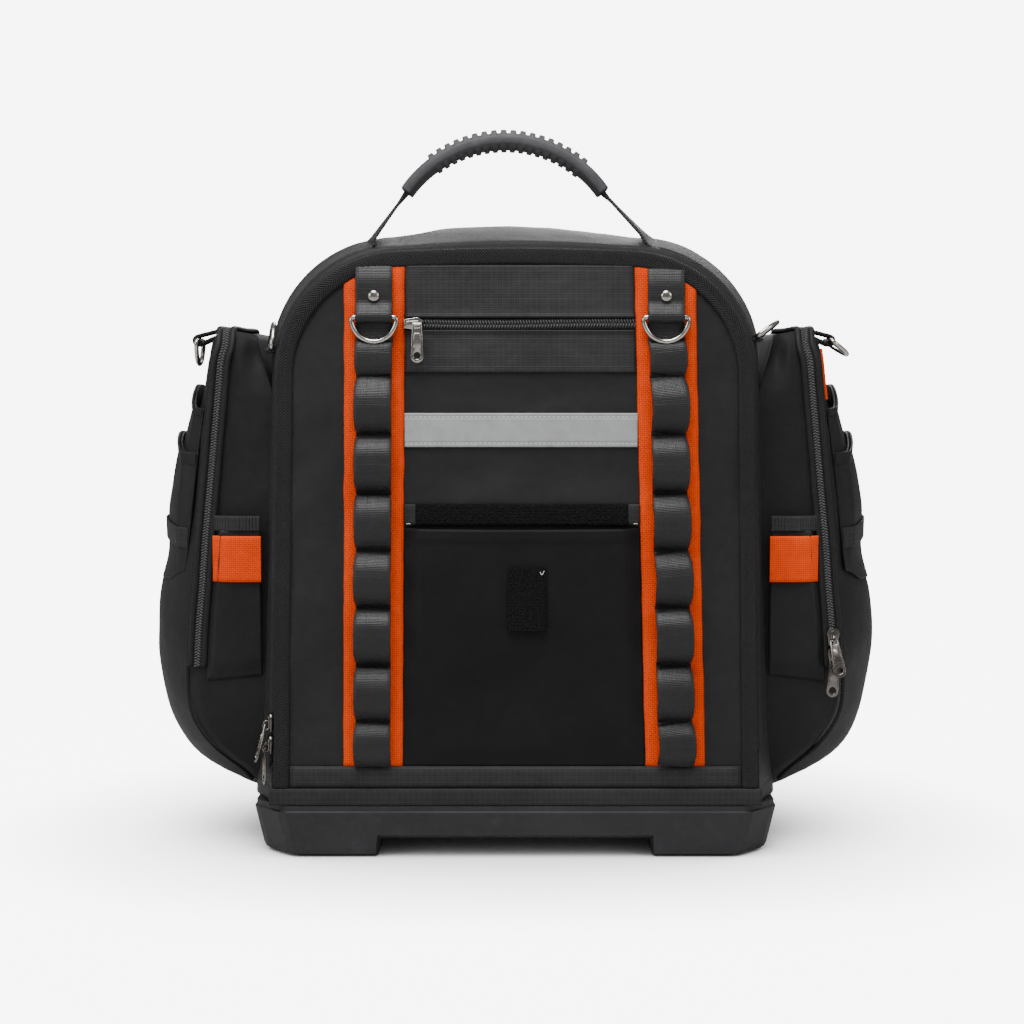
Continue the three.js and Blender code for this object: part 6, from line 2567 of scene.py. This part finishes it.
@dataclass
class Back:
    """The back pad and the shoulder straps."""

    body: Body
    half: float = 132.0
    bottom: float = 72.0
    top: float = 386.0
    radius: float = 40.0
    thick: float = 12.0
    strap_route: Rows = (
        (56, 2.4, 397, 0.45), (57, 12, 421, 0.75), (59, 25, 424, 1), (62, 39, 410, 1), (68, 47, 376, 1),
        (77, 49, 330, 1), (87, 47, 284, 1), (97, 43, 240, 1), (107, 38, 198, 0.95), (113, 34, 176, 0.6),
        (116, 32, 168, 0.02), (128, 24, 130, 0), (140, 13, 94, 0), (147, 4, 72, 0),
    )

    @property
    def seat(self) -> float:
        """The depth of the cloth that the back rests on."""
        return self.body.front + self.body.depth + 0.3

    def build(self) -> None:
        """Makes the pad and both straps."""
        self.build_pad()
        for side in Side:
            self.build_strap(side)

    def rim(self, u: float, inset: float) -> Pair:
        """A point of the pad's outline, round its corners.

        Args:
            u: The share round it.
            inset: How far inside the outline.

        Returns:
            The point's x and z.
        """
        radius = max(self.radius - inset, 4.0)
        x, low, high = self.half - inset, self.bottom + inset, self.top - inset
        corners = [
            ((x - radius, high - radius), 0), ((-x + radius, high - radius), 90),
            ((-x + radius * 0.5, low + radius * 0.5), 180),
            ((x - radius * 0.5, low + radius * 0.5), 270),
        ]
        spot = (u % 1.0) * 4
        index, share = int(spot) % 4, spot - int(spot)
        (cx, cz), start = corners[index]
        bend = radius if index < 2 else radius * 0.5
        if share < 0.5:
            angle = math.radians(start + share * 180)
            return cx + bend * math.cos(angle), cz + bend * math.sin(angle)
        (nx, nz), _ = corners[(index + 1) % 4]
        after = radius if (index + 1) % 4 < 2 else radius * 0.5
        end = math.radians(start + 90)
        a = Vector((cx + bend * math.cos(end), cz + bend * math.sin(end)))
        b = Vector((nx + after * math.cos(end), nz + after * math.sin(end)))
        found = a.lerp(b, (share - 0.5) * 2)
        return found.x, found.y

    def build_pad(self) -> None:
        """The mesh back pad, quilted by two upright channels and a cross channel."""

        def channel(x: float, z: float) -> float:
            """How full the pad is: less along its sewn channels.

            Args:
                x: Across the pad.
                z: The height.

            Returns:
                The share of its full thickness.
            """
            upright = min(abs(x - 44), abs(x + 44))
            level = abs(z - 300) if abs(x) < 120 else 99.0
            seam = 0.5 * math.exp(-((level / 4.5) ** 2)) * ease(upright / 9)
            return 1 - 0.62 * math.exp(-((upright / 4.5) ** 2)) - seam

        rings = [
            0.0, 0.6, 1.6, 3.0, 5.0, 8.0, 12.0, 17.0, 24.0, 32.0, 42.0, 54.0, 68.0, 82.0, 96.0, 110.0,
            122.0, 131.5,
        ]

        def point(u: float, v: float) -> Vector:
            """Lays out rings from the rim to the middle and puffs them up.

            Args:
                u: The share across it or round it.
                v: The share along it or up it.

            Returns:
                The place in millimetres.
            """
            inset = rings[round(v * (len(rings) - 1))]
            x, z = self.rim(u, min(inset, 36.0))
            if inset > 36.0:
                keep = 1 - (inset - 36.0) / 96.0
                x *= keep
                centre = (self.bottom + self.top) / 2
                z = centre + (z - centre) * mix(1.0, keep, ease((inset - 36) / 96))
            dome = self.thick * (1 - math.exp(-inset / 5.2)) + 0.6
            puff = 1.5 * ripple(Vector((x, 0, z)), 54, 2.0) * ease(inset / 20)
            return Vector((x, self.seat + (dome * channel(x, z)) + puff, z))

        def cloth(u: float, v: float) -> Pair:
            """The mesh runs across and up."""
            place = point(u, v)
            return place.x, place.z

        pad = Grid("back_pad_mesh", 200, len(rings) - 1, point, cloth, ring=True, capped=True).build()
        deliver(pad, SPACER_MESH, "back_pad")
        points, outs = [], []
        for i in range(120):
            x, z = self.rim(i / 120, 0.4)
            points.append(Vector((x, self.seat + 1.3, z)))
            outs.append(Y)
        piping = swept("back_pad_binding", Route(points, outs, 480, closed=True), round_section(1.9, 8))
        deliver(piping, BINDING)

    def build_strap(self, side: Side) -> None:
        """One padded shoulder strap with its webbing, bound along both edges.

        Args:
            side: Its side.
        """
        sign = side.value
        base = [Vector((sign * x, self.seat + y, z)) for x, y, z, _ in self.strap_route]
        outs = []
        for i, _ in enumerate(base):
            along = base[min(i + 1, len(base) - 1)] - base[max(i - 1, 0)]
            out = Vector((0, -along.z, along.y))
            outs.append(out.normalized() if out.length > 1e-6 else Y)
        route = Route(base, outs, 260)
        keys = self._keys(route, base)
        full = [smooth_rows(keys, s / route.steps * route.length)[0] for s in range(route.steps + 1)]
        section = squared_section(28, 1.0, 1.0, (0.6, 0.75))
        sides = len(section)

        def point(u: float, v: float) -> Vector:
            """Lays out the section, wide and full where the strap is padded.

            Args:
                u: The share across it or round it.
                v: The share along it or up it.

            Returns:
                The place in millimetres.
            """
            step = round(v * route.steps)
            a, b = section[round(u * sides) % sides]
            half, deep = mix(26, 62, full[step]) / 2, mix(2.2, 11.4, full[step]) / 2
            seam = 1 - 0.22 * math.exp(-(((abs(a) - 0.8) / 0.09) ** 2)) * full[step]
            place = route.place(step, a * half, b * deep * seam)
            ruck = 0.5 * ripple(place, 30, 4.0 + sign) * full[step]
            return place + route.out[step] * ruck * (1 if b > 0 else -1)

        def cloth(u: float, v: float) -> Pair:
            """The mesh runs along the strap."""
            return section[round(u * sides) % sides][0] * 31.0, v * route.length

        name = f"shoulder_strap_{side.label}"
        made = Grid(f"{name}_pad", sides, route.steps, point, cloth, ring=True, capped=True).build()
        deliver(made, SPACER_MESH, name)
        edges = []
        stop = next(i for i in range(len(full) - 1, 0, -1) if full[i] > 0.5)
        for index, reach in enumerate((-1.0, 1.0)):
            steps = list(range(4, stop, 6))
            points = [route.place(s, reach * (mix(26, 62, full[s]) / 2 - 0.4), 0.0) for s in steps]
            edge = Route(points, [route.out[s] for s in steps], 220)
            edges.append(swept(f"edge_{index}", edge, round_section(1.7, 8)))
        deliver(joined(f"{name}_binding", edges), BINDING)

    @staticmethod
    def _keys(route: Route, base: Sequence[Vector]) -> list[Pair]:
        """The strap's fullness against its length along the route.

        Args:
            route: The strap's line.
            base: The points that it was drawn through.

        Returns:
            Rows of length and fullness.
        """
        rows, seek = [], 0
        for i, spot in enumerate(base):
            best = min(range(seek, route.steps + 1), key=lambda s: (route.at[s] - spot).length)
            seek = best
            rows.append((best / route.steps * route.length + i * 1e-4, Back.strap_route[i][3]))
        return rows


# Tub


@dataclass
class Tub:
    """The moulded tub, whose CAD solid keeps its shape and gets rounded edges."""

    edge_round: float = 2.4

    def build(self) -> None:
        """Rounds and dresses the tub."""
        tub = frame["nodes"]["base_tub"]
        weld = tub.modifiers.new("joined corners", "WELD")
        weld.merge_threshold = 1e-6
        soften(tub, self.edge_round, 4)
        tub.data.materials.clear()
        tub.data.materials.append(RUBBER.material())
        LOG.info("base_tub: kept from the frame, %s", RUBBER.name)


# Studio


@dataclass
class Studio:
    """The pale sweep, the soft lights and the camera."""

    camera_height: float = 350.0
    camera_reach: float = 1300.0
    camera_x: float = -2.45
    tilt: float = 4.54
    focal_pixels: float = 1863.0
    image_width: float = 1024.0
    paper_shine: float = 7.0
    # how far the painted contact shadow reaches, in metres
    contact: float = 0.2
    room_shine: float = 0.2
    sweep_width: float = 14.0
    sweep_length: float = 10.0
    sweep_front: float = 4.0
    sweep_bend: float = 1.5
    floor_end: float = 2.5
    floor_gap: float = 0.0004

    def build(self) -> None:
        """Sets up the studio."""
        self.build_sweep()
        self.build_lights()
        self.build_camera()

    def build_camera(self) -> None:
        """The camera at the photograph's place."""
        data = bpy.data.cameras.new("camera")
        data.sensor_width = 36.0
        data.lens = self.focal_pixels / self.image_width * data.sensor_width
        data.clip_start, data.clip_end = 0.05, 50.0
        camera = bpy.data.objects.new("camera", data)
        spot = Vector((self.camera_x, -100.0 - self.camera_reach, self.camera_height))
        camera.location = to_frame(spot)
        camera.rotation_euler = (math.radians(90.0 - self.tilt), 0.0, 0.0)
        bpy.context.scene.collection.objects.link(camera)
        bpy.context.scene.camera = camera

    def build_sweep(self) -> None:
        """A pale floor that curves up into a wall behind. It glows for the camera, and ambient occlusion dims
        that glow near the bag into a painted contact shadow.
        """
        shape = bmesh.new()
        bmesh.ops.create_grid(shape, x_segments=8, y_segments=60, size=0.5)
        quarter = math.pi / 2 * self.sweep_bend
        for vert in shape.verts:
            run = (vert.co.y + 0.5) * self.sweep_length - self.sweep_front
            bend = min(max(run - self.floor_end, 0.0), quarter)
            rise = max(run - self.floor_end - quarter, 0.0)
            turn = bend / self.sweep_bend
            y = min(run, self.floor_end) + self.sweep_bend * math.sin(turn)
            z = self.sweep_bend * (1 - math.cos(turn)) + rise - self.floor_gap
            vert.co = Vector((vert.co.x * self.sweep_width, y, z))
        sweep = object_from("studio_sweep", shape)
        material = bpy.data.materials.new("studio paper")
        material.use_nodes = True
        graph = Graph(material.node_tree)
        shader = material.node_tree.nodes["Principled BSDF"]
        place = graph.node("ShaderNodeTexCoord").outputs["Object"]
        tone = graph.blend(graph.noise(place, 3.0), (0.5, 0.5, 0.5, 1.0), (0.54, 0.54, 0.54, 1.0))
        material.node_tree.links.new(tone, shader.inputs["Base Color"])
        shader.inputs["Roughness"].default_value = 0.9
        seen = graph.node("ShaderNodeLightPath").outputs["Is Camera Ray"]
        # painted contact shadow: ambient occlusion dims the sweep's glow near the bag
        near = graph.node("ShaderNodeAmbientOcclusion", {"Distance": self.contact}, samples=8).outputs["AO"]
        glow_with_painted_shadow = graph.times(graph.math("POWER", near, 2.4), self.paper_shine)
        shine = graph.times(seen, glow_with_painted_shadow)
        material.node_tree.links.new(shine, shader.inputs["Emission Strength"])
        shader.inputs["Emission Color"].default_value = (1.0, 1.0, 1.0, 1.0)
        sweep.data.materials.append(material)

    def light(self, name: str, spot: Vector, aim: Vector, size: float, power: float) -> None:
        """A square soft box.

        Args:
            name: The light's name.
            spot: Where it hangs, in metres.
            aim: What it points at, in metres.
            size: Its side in metres.
            power: Its strength in watts.
        """
        data = bpy.data.lights.new(name, "AREA")
        data.shape = "SQUARE"
        data.size = size
        data.energy = power
        lamp = bpy.data.objects.new(name, data)
        lamp.location = spot
        lamp.rotation_euler = (aim - spot).to_track_quat("-Z", "Y").to_euler()
        bpy.context.scene.collection.objects.link(lamp)

    def build_lights(self) -> None:
        """Soft boxes above, to both sides and in front, and a pale room."""
        aim = Vector((0.0, 0.0, 0.25))
        boxes = (
            ("top", (-0.2, -0.9, 2.1), 1.3, 66.0),
            ("left", (-1.9, -1.2, 1.0), 1.0, 13.0),
            ("right", (1.9, -1.3, 1.2), 1.0, 12.0),
            ("back", (0.4, 1.9, 1.6), 1.4, 30.0),
        )
        for name, spot, size, power in boxes:
            self.light(f"softbox_{name}", Vector(spot), aim, size, power)
        world = bpy.data.worlds.new("studio room")
        world.use_nodes = True
        graph = Graph(world.node_tree)
        room = world.node_tree.nodes["Background"]
        room.inputs[0].default_value = (1.0, 1.0, 1.0, 1.0)
        seen = graph.node("ShaderNodeLightPath").outputs["Is Camera Ray"]
        shine = graph.between(seen, 0.0, 1.0, self.room_shine, self.paper_shine)
        world.node_tree.links.new(shine, room.inputs[1])
        bpy.context.scene.world = world


def main() -> None:
    """Builds every sub-assembly in order."""
    logging.basicConfig(level=logging.INFO, format="%(message)s")
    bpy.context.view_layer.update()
    Studio().build()
    body = Body()
    body.build()
    Tub().build()
    Front(body).build()
    Hardware(body).build()
    Handle(body).build()
    for side in Side:
        Pocket(body, side).build()
    Back(body).build()


if __name__ == "__main__":
    main()
